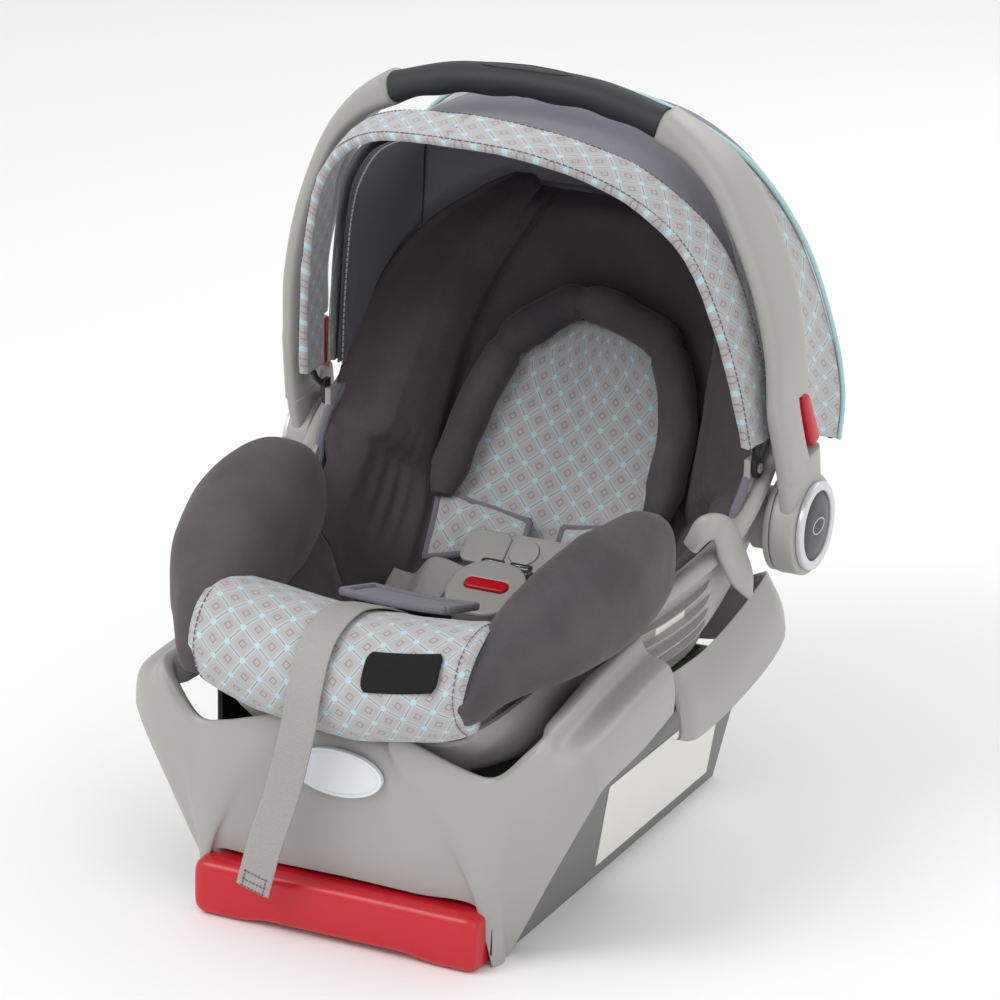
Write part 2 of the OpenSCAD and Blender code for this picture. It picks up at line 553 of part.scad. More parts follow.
module hub_rings() {
  both() ring_trim();
}
module cap() {
  color("#3a3f41") translate([221.6, hub_y, hub_z]) rotate([0, 90, 0]) rotate_extrude()
    polygon([[0, 0], [27.3, 0], [27.3, 2.8], [24, 4.2], [14, 5.2], [0, 5.6]]);
}
module hub_caps() {
  both() cap();
}
module pivot() {
  color("#b8bbc0") rod([186, hub_y, hub_z], pivot_r, 34.6);
}
module pivot_pins() {
  both() pivot();
}
module hub_mount() {
  color(light) difference() {
    union() {
      rod([178, hub_y, hub_z], 25, 20);
      rod([196, hub_y, hub_z], hub_r - 1, 4.6);
      rod([190, hub_y, hub_z], 25, 8);
    }
    rod([186, hub_y, hub_z], pivot_r + 0.02, 20);
    for (a = [20 : 40 : 340]) translate([198, hub_y, hub_z]) rotate([a, 0, 0]) block([0, -2, 27], [4, 2, 35]);
  }
}
module hub_mounts() {
  both() hub_mount();
}
module lock_button() {
  color("#e0002b") tube([for (t = [3.1, 3.3, 3.5, 3.7, 3.9]) let (c = curve(arm, t), k = (3.9 - t) / 0.8,
    d = unit(curve(arm, 4) - curve(arm, 3)), a = unit([0, 1, 0] - d * (d[1] * k)))
    ring(c + a * (24.5 + 3 * k), a, 6 + 3 * k, [1, 0, 0], 6.5, 12, 0.6)]);
}
module handle_button_left() {
  lock_button();
}
module handle_button_right() {
  mirror([1, 0, 0]) lock_button();
}
// ---- canopy ----
module canopy_band() {
  color(cloth) slab(hood([arc_front, arc_band], 0, 1, 4, 18, -4), hood([arc_front, arc_band], 0, 1, 4, 18, 4));
}
bow_half = concat([[186.5, 112, 311]], [for (k = [7 : -1 : 1]) mix(arc_front[k], arc_band[k], 0.5)]);
bow_path = concat(bow_half, [mix(arc_front[0], arc_band[0], 0.5)],
  [for (i = [len(bow_half) - 1 : -1 : 0]) [-bow_half[i][0], bow_half[i][1], bow_half[i][2]]]);
module canopy_bow() {
  color("#2b2b2e") tube(pipe(bow_path, [0, 1, 0.1], 2.5, 2.5, 48, 8));
}
module canopy_panel() {
  color(cloth) slab(hood([arc_tuck, arc_mid, arc_pipe], 0, 1.98, 10, 16, 0),
    hood([arc_tuck, arc_mid, arc_pipe], 0, 1.98, 10, 16, 1.6));
}
module canopy_rear_panel() {
  color("#7d7a87") slab(hood([arc_pipe, arc_dome, arc_head, arc_hem], 0.02, 3, 10, 16, 0),
    hood([arc_pipe, arc_dome, arc_head, arc_hem], 0.02, 3, 10, 16, 1.6));
}
module canopy_lining() {
  color("#55525c") slab(hood([arc_tuck, arc_mid, arc_pipe], 0.1, 1.95, 6, 12, 8.4),
    hood([arc_tuck, arc_mid, arc_pipe], 0.1, 1.95, 6, 12, 9.6));
}
function along(a, h, stop) = [for (j = [-14 : 14]) let (p = inward(curve(a, stop * abs(j) / 14), h))
  [sign(j) * p[0], p[1], p[2]]];
module canopy_rear_bow() {
  color("#2b2b2e") tube(pipe(along(arc_pipe, 5, 7), [0, 1, 0.1], 2.5, 2.5, 40, 8));
}
module canopy_piping() {
  color("#bfe0e4") tube(pipe(along(arc_pipe, -2.6, 7), [0, 1, 0.1], 2, 2, 48, 8));
}
module bow_end() {
  color("#2b2b2e") difference() {
    union() {
      rod([184.6, pivot_y, pivot_z], 8, 4);
      block([184.6, 107, 304], [188.6, 117, 318]);
    }
    rod([180, pivot_y, pivot_z], 4.05, 12);
  }
}
module bow_ends() {
  both() bow_end();
}
module canopy_bracket() {
  color(light) {
    block([179, 106, 285], [184.2, 124, 312]);
    rod([184, pivot_y, pivot_z], 4, 6);
  }
}
module canopy_brackets() {
  both() canopy_bracket();
}

base_front_shell();
base_rear_rim();
base_tub();
base_receiver();
latch_bars();
base_badge();
base_labels();
foot_brackets();
foot_pin();
level_foot();
carrier_shell();
shell_rims();
foam_liner();
carrier_saddles();
latch_slide();
release_lever();
lever_brackets();
lever_pin();
belt_guides();
shell_label();
back_pad();
seat_pad();
front_pad();
front_tag();
leg_bolster_left();
leg_bolster_right();
head_roll();
body_pillow();
harness_straps();
lap_straps();
strap_covers();
chest_clip_left();
chest_clip_right();
chest_clip_button();
buckle_housing();
buckle_button();
buckle_tongues();
crotch_strap();
adjuster_housing();
adjuster_lever();
adjuster_flap();
adjuster_strap();
handle_frame();
handle_grip();
handle_hubs();
hub_rings();
hub_caps();
pivot_pins();
hub_mounts();
handle_button_left();
handle_button_right();
canopy_band();
canopy_bow();
canopy_panel();
canopy_rear_panel();
canopy_lining();
canopy_rear_bow();
canopy_piping();
bow_ends();
canopy_brackets();
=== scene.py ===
# %% [markdown]
# # Infant car seat
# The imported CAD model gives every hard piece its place. This notebook dresses it: it loads the
# frame, sets the camera and the lights, and then rebuilds the soft and the moulded pieces one by
# one with finer surfaces and real materials. Every length is in metres.

# %% Load the frame
import bpy
import bmesh
import json
import math
import numpy as np
from mathutils import Matrix, Vector, noise


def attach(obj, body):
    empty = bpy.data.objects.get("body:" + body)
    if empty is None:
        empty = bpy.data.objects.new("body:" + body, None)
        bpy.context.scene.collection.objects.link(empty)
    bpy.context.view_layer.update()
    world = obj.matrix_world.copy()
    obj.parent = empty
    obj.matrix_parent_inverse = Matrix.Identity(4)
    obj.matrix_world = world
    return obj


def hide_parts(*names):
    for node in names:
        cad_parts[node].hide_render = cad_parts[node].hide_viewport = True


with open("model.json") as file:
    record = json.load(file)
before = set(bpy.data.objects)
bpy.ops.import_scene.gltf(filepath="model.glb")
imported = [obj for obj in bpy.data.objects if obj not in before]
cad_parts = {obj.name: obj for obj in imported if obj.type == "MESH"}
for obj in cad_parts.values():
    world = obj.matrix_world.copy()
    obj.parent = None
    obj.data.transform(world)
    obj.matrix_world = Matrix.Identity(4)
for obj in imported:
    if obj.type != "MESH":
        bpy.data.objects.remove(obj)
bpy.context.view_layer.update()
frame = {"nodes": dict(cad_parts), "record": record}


def add_object(name, data):
    """A new object holding some data, linked to the scene."""
    obj = bpy.data.objects.new(name, data)
    bpy.context.scene.collection.objects.link(obj)
    return obj


# %% [markdown]
# ## Camera
# A long lens from the front and a little to the seat's left, looking down on it. The lens is long
# (160 mm on a 36 mm sensor), so the camera stands far away and the sides stay nearly parallel.

# %% Camera
azimuth, elevation, roll = math.radians(25.67), math.radians(19.31), math.radians(1.18)
back = Vector((math.sin(azimuth) * math.cos(elevation), -math.cos(azimuth) * math.cos(elevation),
               math.sin(elevation)))
right = Vector((math.cos(azimuth), math.sin(azimuth), 0))
up = back.cross(right)
right_r = math.cos(roll) * right + math.sin(roll) * up
up_r = -math.sin(roll) * right + math.cos(roll) * up
camera_data = bpy.data.cameras.new("camera")
camera_data.lens = 160.2
camera_data.sensor_width = 36
camera = add_object("camera", camera_data)
place = Matrix((right_r, up_r, back)).transposed().to_4x4()
place.translation = Vector((1.407, -2.878, 1.404))
camera.matrix_world = place
bpy.context.scene.camera = camera
print("camera", tuple(round(c, 3) for c in camera.location))

# %% [markdown]
# ## Curves shared by many pieces
# Most surfaces here follow a few smooth lines through listed points, so one Catmull-Rom
# function does for all of them: it passes through every point and has no sharp turns.

# %% Smooth curves and grids
MM = 0.001


def curve(points, t):
    """Point at t (0 at the first point, 1 at the second, and so on) on a smooth line."""
    p = np.asarray(points, float)
    n = len(p)
    i = int(max(0, min(math.floor(t), n - 2)))
    f = t - i
    a, b, c, d = p[max(i - 1, 0)], p[i], p[i + 1], p[min(i + 2, n - 1)]
    return 0.5 * (2 * b + (c - a) * f + (2 * a - 5 * b + 4 * c - d) * f ** 2
                  + (3 * b - a - 3 * c + d) * f ** 3)


def unit(v):
    v = np.asarray(v, float)
    return v / max(np.linalg.norm(v), 1e-12)


def mix(a, b, t):
    return a + (b - a) * t


def smooth(t):
    """0 to 1 with a soft start and a soft end."""
    t = max(0.0, min(1.0, t))
    return t * t * (3 - 2 * t)


# %% [markdown]
# ## The webbing that hangs down the front
# The adjuster webbing is the one loose strap, so it comes first: the camera frames it. It leaves
# the seat under the small flap, lies over the padded front edge and hangs to a stitched end. A
# ribbon with a flat section is swept along the route's points.

# %% Route of the adjuster webbing
TAIL = [(-4, -96, 219), (-4, -114, 227), (-4, -160, 247.5), (-5, -200, 256.5), (-6, -236, 245),
        (-8, -252, 213), (-14, -251, 180), (-30, -245, 125), (-45, -244, 80), (-56, -243, 40)]
tail_path = np.array([curve(TAIL, (len(TAIL) - 1) * i / 60) for i in range(61)]) * MM

# %% [markdown]
# ## Meshes from grids
# Padded pieces, shells and canopy sheets are all "a front surface, a back surface and a closed
# edge". One helper builds that from two grids of points, and lays a UV map in metres over it, so a
# woven print keeps its size on every piece and follows the cloth where it bends.


# %% Closed solids from grids and rings
def shade_smooth(mesh):
    for polygon in mesh.polygons:
        polygon.use_smooth = True


def finish_mesh(name, verts, faces, uv, material, smooth_angle=None):
    """Mesh object with outward faces, smooth shading and a UV map in metres."""
    mesh = bpy.data.meshes.new(name)
    mesh.from_pydata([tuple(v) for v in verts], [], faces)
    mesh.update()
    bm = bmesh.new()
    bm.from_mesh(mesh)
    bmesh.ops.recalc_face_normals(bm, faces=bm.faces)
    layer = bm.loops.layers.uv.new("cloth")
    bm.verts.index_update()
    for face in bm.faces:
        for loop in face.loops:
            loop[layer].uv = uv[loop.vert.index]
    bm.to_mesh(mesh)
    bm.free()
    shade_smooth(mesh)
    if smooth_angle is not None:
        mesh.set_sharp_from_angle(angle=math.radians(smooth_angle))
    mesh.materials.append(material)
    return add_object(name, mesh)


def lengths(points):
    """Distance along a line of points, from its start to each point."""
    steps = np.linalg.norm(np.diff(points, axis=0), axis=1)
    return np.concatenate([[0], np.cumsum(steps)])


def grid_solid(name, front, behind, material, smooth_angle=None):
    """Closed solid between two matching grids of points, (rows, columns, 3), in metres."""
    front, behind = np.asarray(front, float), np.asarray(behind, float)
    n, m = front.shape[:2]
    k = n * m
    verts = np.concatenate([front.reshape(-1, 3), behind.reshape(-1, 3)])
    faces = []
    for i in range(n - 1):
        for j in range(m - 1):
            q = i * m + j
            faces.append((q, q + 1, q + m + 1, q + m))
            faces.append((k + q, k + q + m, k + q + m + 1, k + q + 1))
    edge = ([(i * m, (i + 1) * m) for i in range(n - 1)]
            + [((n - 1) * m + j, (n - 1) * m + j + 1) for j in range(m - 1)]
            + [((i + 1) * m + m - 1, i * m + m - 1) for i in range(n - 2, -1, -1)]
            + [(j + 1, j) for j in range(m - 2, -1, -1)])
    faces += [(a, b, b + k, a + k) for a, b in edge]
    down, across = lengths(front[:, m // 2]), lengths(front[n // 2])
    one = [(across[j] - across[m // 2], down[i]) for i in range(n) for j in range(m)]
    return finish_mesh(name, verts, faces, one + one, material, smooth_angle)


def tube_solid(name, rings, material, smooth_angle=None, inner=None):
    """Closed tube through rings of points; with inner rings it is a hollow sleeve."""
    rings = np.asarray(rings, float)
    n, m = rings.shape[:2]
    verts = list(rings.reshape(-1, 3))
    faces = []
    for i in range(n - 1):
        for j in range(m):
            a, s = i * m, (j + 1) % m
            faces.append((a + j, a + s, a + m + s, a + m + j))
    along = lengths(rings.mean(axis=1))
    around = lengths(np.vstack([rings[n // 2], rings[n // 2][:1]]))
    uv = [(around[j], along[i]) for i in range(n) for j in range(m)]
    if inner is None:
        verts += [rings[0].mean(axis=0), rings[-1].mean(axis=0)]
        uv += [(0, along[0]), (0, along[-1])]
        faces += [(n * m, (j + 1) % m, j) for j in range(m)]
        faces += [(n * m + 1, (n - 1) * m + j, (n - 1) * m + (j + 1) % m) for j in range(m)]
    else:
        k = n * m
        verts += list(np.asarray(inner, float).reshape(-1, 3))
        uv += uv
        for i in range(n - 1):
            for j in range(m):
                a, s = k + i * m, (j + 1) % m
                faces.append((a + j, a + m + j, a + m + s, a + s))
        for j in range(m):
            s, q = (j + 1) % m, (n - 1) * m
            faces.append((j, k + j, k + s, s))
            faces.append((q + j, q + s, q + k + s, q + k + j))
    return finish_mesh(name, verts, faces, uv, material, smooth_angle)


def ring(c, a, wa, b, wb, m=24, e=1.0):
    """Ring of m points round c; e below 1 makes it boxy."""
    g = 2 * math.pi * (np.arange(m) + 0.5) / m
    s, t = np.sin(g), np.cos(g)
    s, t = np.sign(s) * np.abs(s) ** e, np.sign(t) * np.abs(t) ** e
    return np.asarray(c) + np.outer(t, np.asarray(a) * wa) + np.outer(s, np.asarray(b) * wb)


def sweep(points, side, wa, wb, n, m=24, e=1.0):
    """Rings along a smooth line; wa and wb are half sizes, or lists of them along the line."""
    points = np.asarray(points, float)
    last = len(points) - 1
    rings = []
    for i in range(n + 1):
        t = last * i / n
        c = curve(points, t)
        d = unit(curve(points, min(t + 0.05, last)) - curve(points, max(t - 0.05, 0)))
        a = unit(np.asarray(side, float) - d * np.dot(side, d))
        b = np.cross(d, a)
        ra = wa if np.isscalar(wa) else float(curve(np.c_[wa], (len(wa) - 1) * i / n)[0])
        rb = wb if np.isscalar(wb) else float(curve(np.c_[wb], (len(wb) - 1) * i / n)[0])
        rings.append(ring(c, a, ra, b, rb, m, e))
    return np.array(rings)


def ride(obj, body, slot, *nodes):
    """Puts a finished piece on its body and hides the CAD nodes it stands for; slot is not used."""
    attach(obj, body)
    if nodes:
        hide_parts(*nodes)
    print(obj.name, len(obj.data.polygons), "faces on", body)
    return obj


# %% [markdown]
# ## Node groups for the finishes
# Moulded plastic, woven cloth, plush and the printed lattice are each one shader node group, built
# once and placed in every material that needs it. The groups give out only colours, masks and
# heights; each Principled shader stays in its own material with plain values on its sockets.


# %% Helpers for building node trees
def group(name, inputs, outputs, kind_of_tree="ShaderNodeTree"):
    """A new node group with its input and output sockets."""
    tree = bpy.data.node_groups.new(name, kind_of_tree)
    for label, kind, value in inputs:
        item = tree.interface.new_socket(label, in_out="INPUT", socket_type=kind)
        if value is not None:
            item.default_value = value
    for label, kind in outputs:
        tree.interface.new_socket(label, in_out="OUTPUT", socket_type=kind)
    return tree, tree.nodes.new("NodeGroupInput").outputs, tree.nodes.new("NodeGroupOutput").inputs


def wire(tree, value, socket):
    if hasattr(value, "is_output"):
        tree.links.new(value, socket)
    else:
        socket.default_value = value


def op(tree, kind, a, b=None, c=None, clamp=False):
    node = tree.nodes.new("ShaderNodeMath")
    node.operation = kind
    node.use_clamp = clamp
    for value, socket in zip((a, b, c), node.inputs):
        if value is not None:
            wire(tree, value, socket)
    return node.outputs[0]


def blend_colour(tree, mask, a, b):
    node = tree.nodes.new("ShaderNodeMix")
    node.data_type = "RGBA"
    wire(tree, mask, node.inputs[0])
    wire(tree, a, node.inputs[6])
    wire(tree, b, node.inputs[7])
    return node.outputs[2]


def set_values(node, values):
    for label, value in values.items():
        node.inputs[label].default_value = value


def noise_of(tree, vector, scale, detail=3.0, rough=0.5):
    node = tree.nodes.new("ShaderNodeTexNoise")
    wire(tree, vector, node.inputs["Vector"])
    wire(tree, scale, node.inputs["Scale"])
    set_values(node, {"Detail": detail, "Roughness": rough})
    return node.outputs["Fac"]


def srgb(code):
    """Linear colour from a hex code as a painter would write it."""
    parts = [int(code[i:i + 2], 16) / 255 for i in (1, 3, 5)]
    return tuple(c / 12.92 if c <= 0.04045 else ((c + 0.055) / 1.055) ** 2.4 for c in parts) + (1,)


# %% Group: moulded plastic
moulded, i_, o_ = group(
    "moulded plastic", [("Vector", "NodeSocketVector", None), ("Color", "NodeSocketColor", (0.5, 0.5, 0.5, 1)),
                        ("Grain Scale", "NodeSocketFloat", 1800.0), ("Roughness", "NodeSocketFloat", 0.4)],
    [("Color", "NodeSocketColor"), ("Roughness", "NodeSocketFloat"), ("Height", "NodeSocketFloat")])
broad = noise_of(moulded, i_["Vector"], 9.0, 3.0)
fine = noise_of(moulded, i_["Vector"], i_["Grain Scale"], 2.0)
shade = op(moulded, "MULTIPLY_ADD", broad, 0.10, -0.02)
tinted = blend_colour(moulded, shade, i_["Color"], (0.16, 0.15, 0.14, 1))
moulded.links.new(tinted, o_["Color"])
spread = op(moulded, "MULTIPLY_ADD", broad, 0.16, -0.08)
moulded.links.new(op(moulded, "ADD", i_["Roughness"], spread, clamp=True), o_["Roughness"])
moulded.links.new(fine, o_["Height"])
print("group", moulded.name, len(moulded.nodes))

# %% Group: plain weave
# Threads go over and under each other: where one family is on top, the other dips.
weave, i_, o_ = group(
    "plain weave", [("Vector", "NodeSocketVector", None), ("Thread", "NodeSocketFloat", 0.0009)],
    [("Height", "NodeSocketFloat"), ("Shade", "NodeSocketFloat")])
parts = weave.nodes.new("ShaderNodeSeparateXYZ")
weave.links.new(i_["Vector"], parts.inputs[0])
px = op(weave, "DIVIDE", parts.outputs[0], i_["Thread"])
py = op(weave, "DIVIDE", parts.outputs[1], i_["Thread"])
hump_x = op(weave, "ABSOLUTE", op(weave, "SINE", op(weave, "MULTIPLY", px, math.pi)))
hump_y = op(weave, "ABSOLUTE", op(weave, "SINE", op(weave, "MULTIPLY", py, math.pi)))
which = op(weave, "PINGPONG", op(weave, "ADD", op(weave, "FLOOR", px), op(weave, "FLOOR", py)), 1.0)
over = op(weave, "MULTIPLY", hump_x, which)
under = op(weave, "MULTIPLY", hump_y, op(weave, "SUBTRACT", 1.0, which))
height = op(weave, "ADD", over, under)
weave.links.new(height, o_["Height"])
slub = noise_of(weave, i_["Vector"], 260.0, 2.0)
weave.links.new(op(weave, "ADD", op(weave, "MULTIPLY", height, 0.35), op(weave, "MULTIPLY", slub, 0.5)),
                o_["Shade"])
print("group", weave.name, len(weave.nodes))

# %% Group: printed lattice
# A square lattice turned by an angle. Slate lines with a pale edge, a small star where they
# cross, and a hollow square in the middle of each cell.
lattice, i_, o_ = group(
    "printed lattice", [("Vector", "NodeSocketVector", None), ("Cell", "NodeSocketFloat", 0.017),
                        ("Turn", "NodeSocketFloat", 0.785), ("Ground", "NodeSocketColor", srgb("#b8b5b6"))],
    [("Color", "NodeSocketColor")])
turned = lattice.nodes.new("ShaderNodeVectorRotate")
turned.rotation_type = "Z_AXIS"
lattice.links.new(i_["Vector"], turned.inputs["Vector"])
lattice.links.new(i_["Turn"], turned.inputs["Angle"])
parts = lattice.nodes.new("ShaderNodeSeparateXYZ")
lattice.links.new(turned.outputs[0], parts.inputs[0])
side = []
for axis in (0, 1):
    inside = op(lattice, "FRACT", op(lattice, "DIVIDE", parts.outputs[axis], i_["Cell"]))
    side.append(op(lattice, "ABSOLUTE", op(lattice, "SUBTRACT", inside, 0.5)))
far = op(lattice, "MAXIMUM", side[0], side[1])
near = op(lattice, "MINIMUM", side[0], side[1])
to_line = op(lattice, "SUBTRACT", 0.5, far)
to_cross = op(lattice, "SQRT", op(lattice, "ADD", op(lattice, "POWER", to_line, 2.0),
                                  op(lattice, "POWER", op(lattice, "SUBTRACT", 0.5, near), 2.0)))
line = op(lattice, "LESS_THAN", to_line, 0.026)
edge_glow = op(lattice, "LESS_THAN", to_line, 0.08)
diagonal = op(lattice, "LESS_THAN", op(lattice, "SUBTRACT", far, near), 0.032)
petal = op(lattice, "MULTIPLY", diagonal, op(lattice, "LESS_THAN", to_cross, 0.13))
bar = op(lattice, "MULTIPLY", op(lattice, "LESS_THAN", to_line, 0.038), op(lattice, "LESS_THAN", to_cross, 0.15))
star = op(lattice, "MAXIMUM", petal, bar)
square = op(lattice, "MULTIPLY", op(lattice, "LESS_THAN", far, 0.155), op(lattice, "GREATER_THAN", far, 0.095))
inner = op(lattice, "MULTIPLY", op(lattice, "LESS_THAN", far, 0.33), 0.25)
paint = blend_colour(lattice, inner, i_["Ground"], srgb("#a59b9c"))
for mask, strength, code in ((edge_glow, 0.55, "#bcd2d4"), (line, 0.75, "#76858e"), (star, 0.9, "#b7dce2"),
                             (square, 0.7, "#877a7f")):
    paint = blend_colour(lattice, op(lattice, "MULTIPLY", mask, strength), paint, srgb(code))
lattice.links.new(paint, o_["Color"])
print("group", lattice.name, len(lattice.nodes))

# %% Group: plush pile
# Short pile that lies in different directions: broad soft patches painted lighter and darker, a painted sheen of
# the pile, and fine flecks.
pile, i_, o_ = group(
    "plush pile", [("Vector", "NodeSocketVector", None), ("Dark", "NodeSocketColor", srgb("#3f3b3d")),
                   ("Light", "NodeSocketColor", srgb("#6c6462"))],
    [("Color", "NodeSocketColor"), ("Height", "NodeSocketFloat")])
# painted sheen: broad patches of the pile painted lighter and darker where it lies in different directions
pile_sheen_patches = noise_of(pile, i_["Vector"], 13.0, 4.0, 0.55)
flecks = noise_of(pile, i_["Vector"], 900.0, 2.0)
spread = op(pile, "MULTIPLY_ADD", pile_sheen_patches, 1.9, -0.5, clamp=True)
fleck = op(pile, "MULTIPLY_ADD", flecks, 0.5, -0.25)
lit = op(pile, "ADD", spread, fleck, clamp=True)
pile.links.new(blend_colour(pile, lit, i_["Dark"], i_["Light"]), o_["Color"])
pile.links.new(op(pile, "ADD", flecks, op(pile, "MULTIPLY", pile_sheen_patches, 0.6)), o_["Height"])
print("group", pile.name, len(pile.nodes))


# %% Materials built from the groups
def new_material(name):
    material = bpy.data.materials.new(name)
    material.use_nodes = True
    return material, material.node_tree, material.node_tree.nodes["Principled BSDF"]


def coordinates(tree, kind="Object"):
    return tree.nodes.new("ShaderNodeTexCoord").outputs[kind]


def place_group(tree, shared, **values):
    node = tree.nodes.new("ShaderNodeGroup")
    node.node_tree = shared
    for key, value in values.items():
        wire(tree, value, node.inputs[key.replace("_", " ")])
    return node.outputs


def bump(tree, shader, height, strength, distance):
    node = tree.nodes.new("ShaderNodeBump")
    set_values(node, {"Strength": strength, "Distance": distance})
    tree.links.new(height, node.inputs["Height"])
    tree.links.new(node.outputs[0], shader.inputs["Normal"])


def plastic(name, code, rough=0.42, coat=0.0, grain=0.35, metallic=0.0):
    material, tree, shader = new_material(name)
    out = place_group(tree, moulded, Vector=coordinates(tree), Color=srgb(code), Roughness=rough)
    tree.links.new(out["Color"], shader.inputs["Base Color"])
    tree.links.new(out["Roughness"], shader.inputs["Roughness"])
    set_values(shader, {"Metallic": metallic, "Coat Weight": coat, "Coat Roughness": 0.18})
    bump(tree, shader, out["Height"], grain, 0.00012)
    return material


def printed(name, turn=45, plain_from=None):
    """Printed cotton; with plain_from it is plain mauve where y + 0.45 |x| is less than that."""
    material, tree, shader = new_material(name)
    uv = coordinates(tree, "UV")
    out = place_group(tree, lattice, Vector=uv, Turn=math.radians(turn), Cell=0.0175)
    threads = place_group(tree, weave, Vector=uv)
    colour = out["Color"]
    if plain_from:
        parts = tree.nodes.new("ShaderNodeSeparateXYZ")
        tree.links.new(coordinates(tree), parts.inputs[0])
        beside = op(tree, "ABSOLUTE", parts.outputs[0])
        behind = op(tree, "ADD", parts.outputs[1], op(tree, "MULTIPLY", beside, 0.45))
        shown = op(tree, "MULTIPLY", op(tree, "GREATER_THAN", behind, plain_from),
                   op(tree, "GREATER_THAN", beside, 0.082))
        colour = blend_colour(tree, shown, srgb("#7d7a87"), colour)
    shaded = blend_colour(tree, op(tree, "MULTIPLY", threads["Shade"], 0.14), colour, (0.25, 0.24, 0.24, 1))
    tree.links.new(shaded, shader.inputs["Base Color"])
    set_values(shader, {"Roughness": 0.9, "Sheen Weight": 0.25, "Sheen Roughness": 0.5})
    bump(tree, shader, threads["Height"], 0.5, 0.00025)
    return material


def woven(name, code, thread=0.0009, rough=0.85, sheen=0.25, kind="UV"):
    material, tree, shader = new_material(name)
    vector = coordinates(tree, kind)
    threads = place_group(tree, weave, Vector=vector, Thread=thread)
    dark = tuple(c * 0.55 for c in srgb(code)[:3]) + (1,)
    tree.links.new(blend_colour(tree, op(tree, "MULTIPLY", threads["Shade"], 0.35), srgb(code), dark),
                   shader.inputs["Base Color"])
    set_values(shader, {"Roughness": rough, "Sheen Weight": sheen})
    bump(tree, shader, threads["Height"], 0.6, thread * 0.35)
    return material


def velvety(name, dark, light):
    material, tree, shader = new_material(name)
    out = place_group(tree, pile, Vector=coordinates(tree), Dark=srgb(dark), Light=srgb(light))
    tree.links.new(out["Color"], shader.inputs["Base Color"])
    set_values(shader, {"Roughness": 0.95, "Sheen Weight": 0.55, "Sheen Roughness": 0.35,
                        "Sheen Tint": srgb("#a29a99")})
    bump(tree, shader, out["Height"], 0.35, 0.0012)
    return material


light_plastic = plastic("light plastic", "#a3a29f", 0.40, 0.05)
tub_plastic = plastic("tub plastic", "#767675", 0.5)
black_plastic = plastic("black plastic", "#1c1c1e", 0.5)
red_plastic = plastic("red plastic", "#bf001c", 0.36, 0.12, 0.2)
grip_rubber = plastic("grip rubber", "#26292b", 0.62, 0.0, 0.7)
steel = plastic("plated steel", "#c2c4c7", 0.3, 0.0, 0.1, metallic=1.0)
badge_plate = plastic("badge plate", "#dfe2e8", 0.25, 0.4, 0.1)
label_film = plastic("label film", "#efeee9", 0.45, 0.1, 0.1)
bead_foam = plastic("bead foam", "#ebebe8", 0.8, 0.0, 0.9)
clip_grey = plastic("clip button grey", "#a8a7a5", 0.4, 0.1)
hub_silver = plastic("hub silver", "#cfd0d2", 0.28, 0.2, 0.1, metallic=0.25)
cap_dark = plastic("hub cap", "#202427", 0.35, 0.12, 0.1)
lattice_cotton = printed("lattice cotton")
lattice_hood = printed("lattice cotton on the hood", plain_from=0.1815)
lattice_front = printed("lattice cotton on the front", 33)
plush = velvety("plush", "#403c3f", "#5c5558")
mauve = woven("mauve binding", "#7d7a87")
charcoal = woven("charcoal lining", "#55525c")
aqua = woven("aqua piping", "#bfe3e7", 0.0012)
webbing = woven("webbing", "#a9a6a4", 0.0016, 0.7, 0.1)
tag_cloth = woven("tag cloth", "#070708", 0.0007, 0.9, 0.0)
print("materials", len(bpy.data.materials))

# %% [markdown]
# ## Studio
# A plain pale floor, a bright even sky and two big soft lamps. The key lamp stands to the front
# left and high up; the fill, on the other side, keeps the deep hood from going black.


# %% Floor, sky and lamps
def lamp(name, location, target, size, power):
    data = bpy.data.lights.new(name, "AREA")
    data.size, data.energy = size, power
    obj = add_object(name, data)
    obj.location = location
    obj.rotation_euler = (Vector(target) - Vector(location)).to_track_quat("-Z", "Y").to_euler()


floor_material, tree, shader = new_material("pale floor")
floor_tint = blend_colour(tree, op(tree, "MULTIPLY", noise_of(tree, coordinates(tree), 1.5), 0.06),
                          (0.9, 0.9, 0.9, 1), (0.8, 0.8, 0.8, 1))
tree.links.new(floor_tint, shader.inputs["Base Color"])
set_values(shader, {"Roughness": 0.85})
mesh = bpy.data.meshes.new("floor")
mesh.from_pydata([(-9, -9, 0), (9, -9, 0), (9, 9, 0), (-9, 9, 0)], [], [(0, 1, 2, 3)])
mesh.materials.append(floor_material)
add_object("floor", mesh)

world = bpy.data.worlds.new("sky")
world.use_nodes = True
set_values(world.node_tree.nodes["Background"], {"Color": (1, 1, 1, 1), "Strength": 0.8})
bpy.context.scene.world = world
bpy.context.scene.view_settings.view_transform = "Standard"
lamp("key lamp", (-1.3, -2.0, 2.6), (0, 0, 0.25), 1.6, 42)
lamp("fill lamp", (2.4, -1.6, 1.6), (0, 0, 0.25), 2.0, 14)
lamp("back lamp", (0.6, 2.4, 2.2), (0, 0, 0.3), 1.8, 22)
print("lamps", len(bpy.data.lights))

# %% [markdown]
# ## The carrier's own surface
# The bucket of the carrier is one rule: three lines (under the middle, along the rim, and the half
# width) and a rounded section between them. u runs from the foot end to the head end, v from one
# rim (-1) through the bottom (0) to the other (1), and h is the depth inwards. Every pad is laid
# on this rule, so they all fit in the bucket.

# %% Point on the carrier's surface
LOW = [(-198, 160), (-182, 136), (-153, 119), (-100, 103), (-30, 92), (40, 92), (102, 104),
       (155, 140), (200, 195), (238, 262), (270, 332), (298, 396), (316, 440)]
RIM = [(-194, 178), (-178, 188), (-142, 196), (-96, 204), (-42, 217), (6, 236), (46, 252), (80, 268),
       (112, 290), (150, 316), (190, 350), (234, 394), (292, 448)]
HALF = [100, 114, 122, 127, 134, 156, 172, 181, 184, 181, 171, 150, 104]


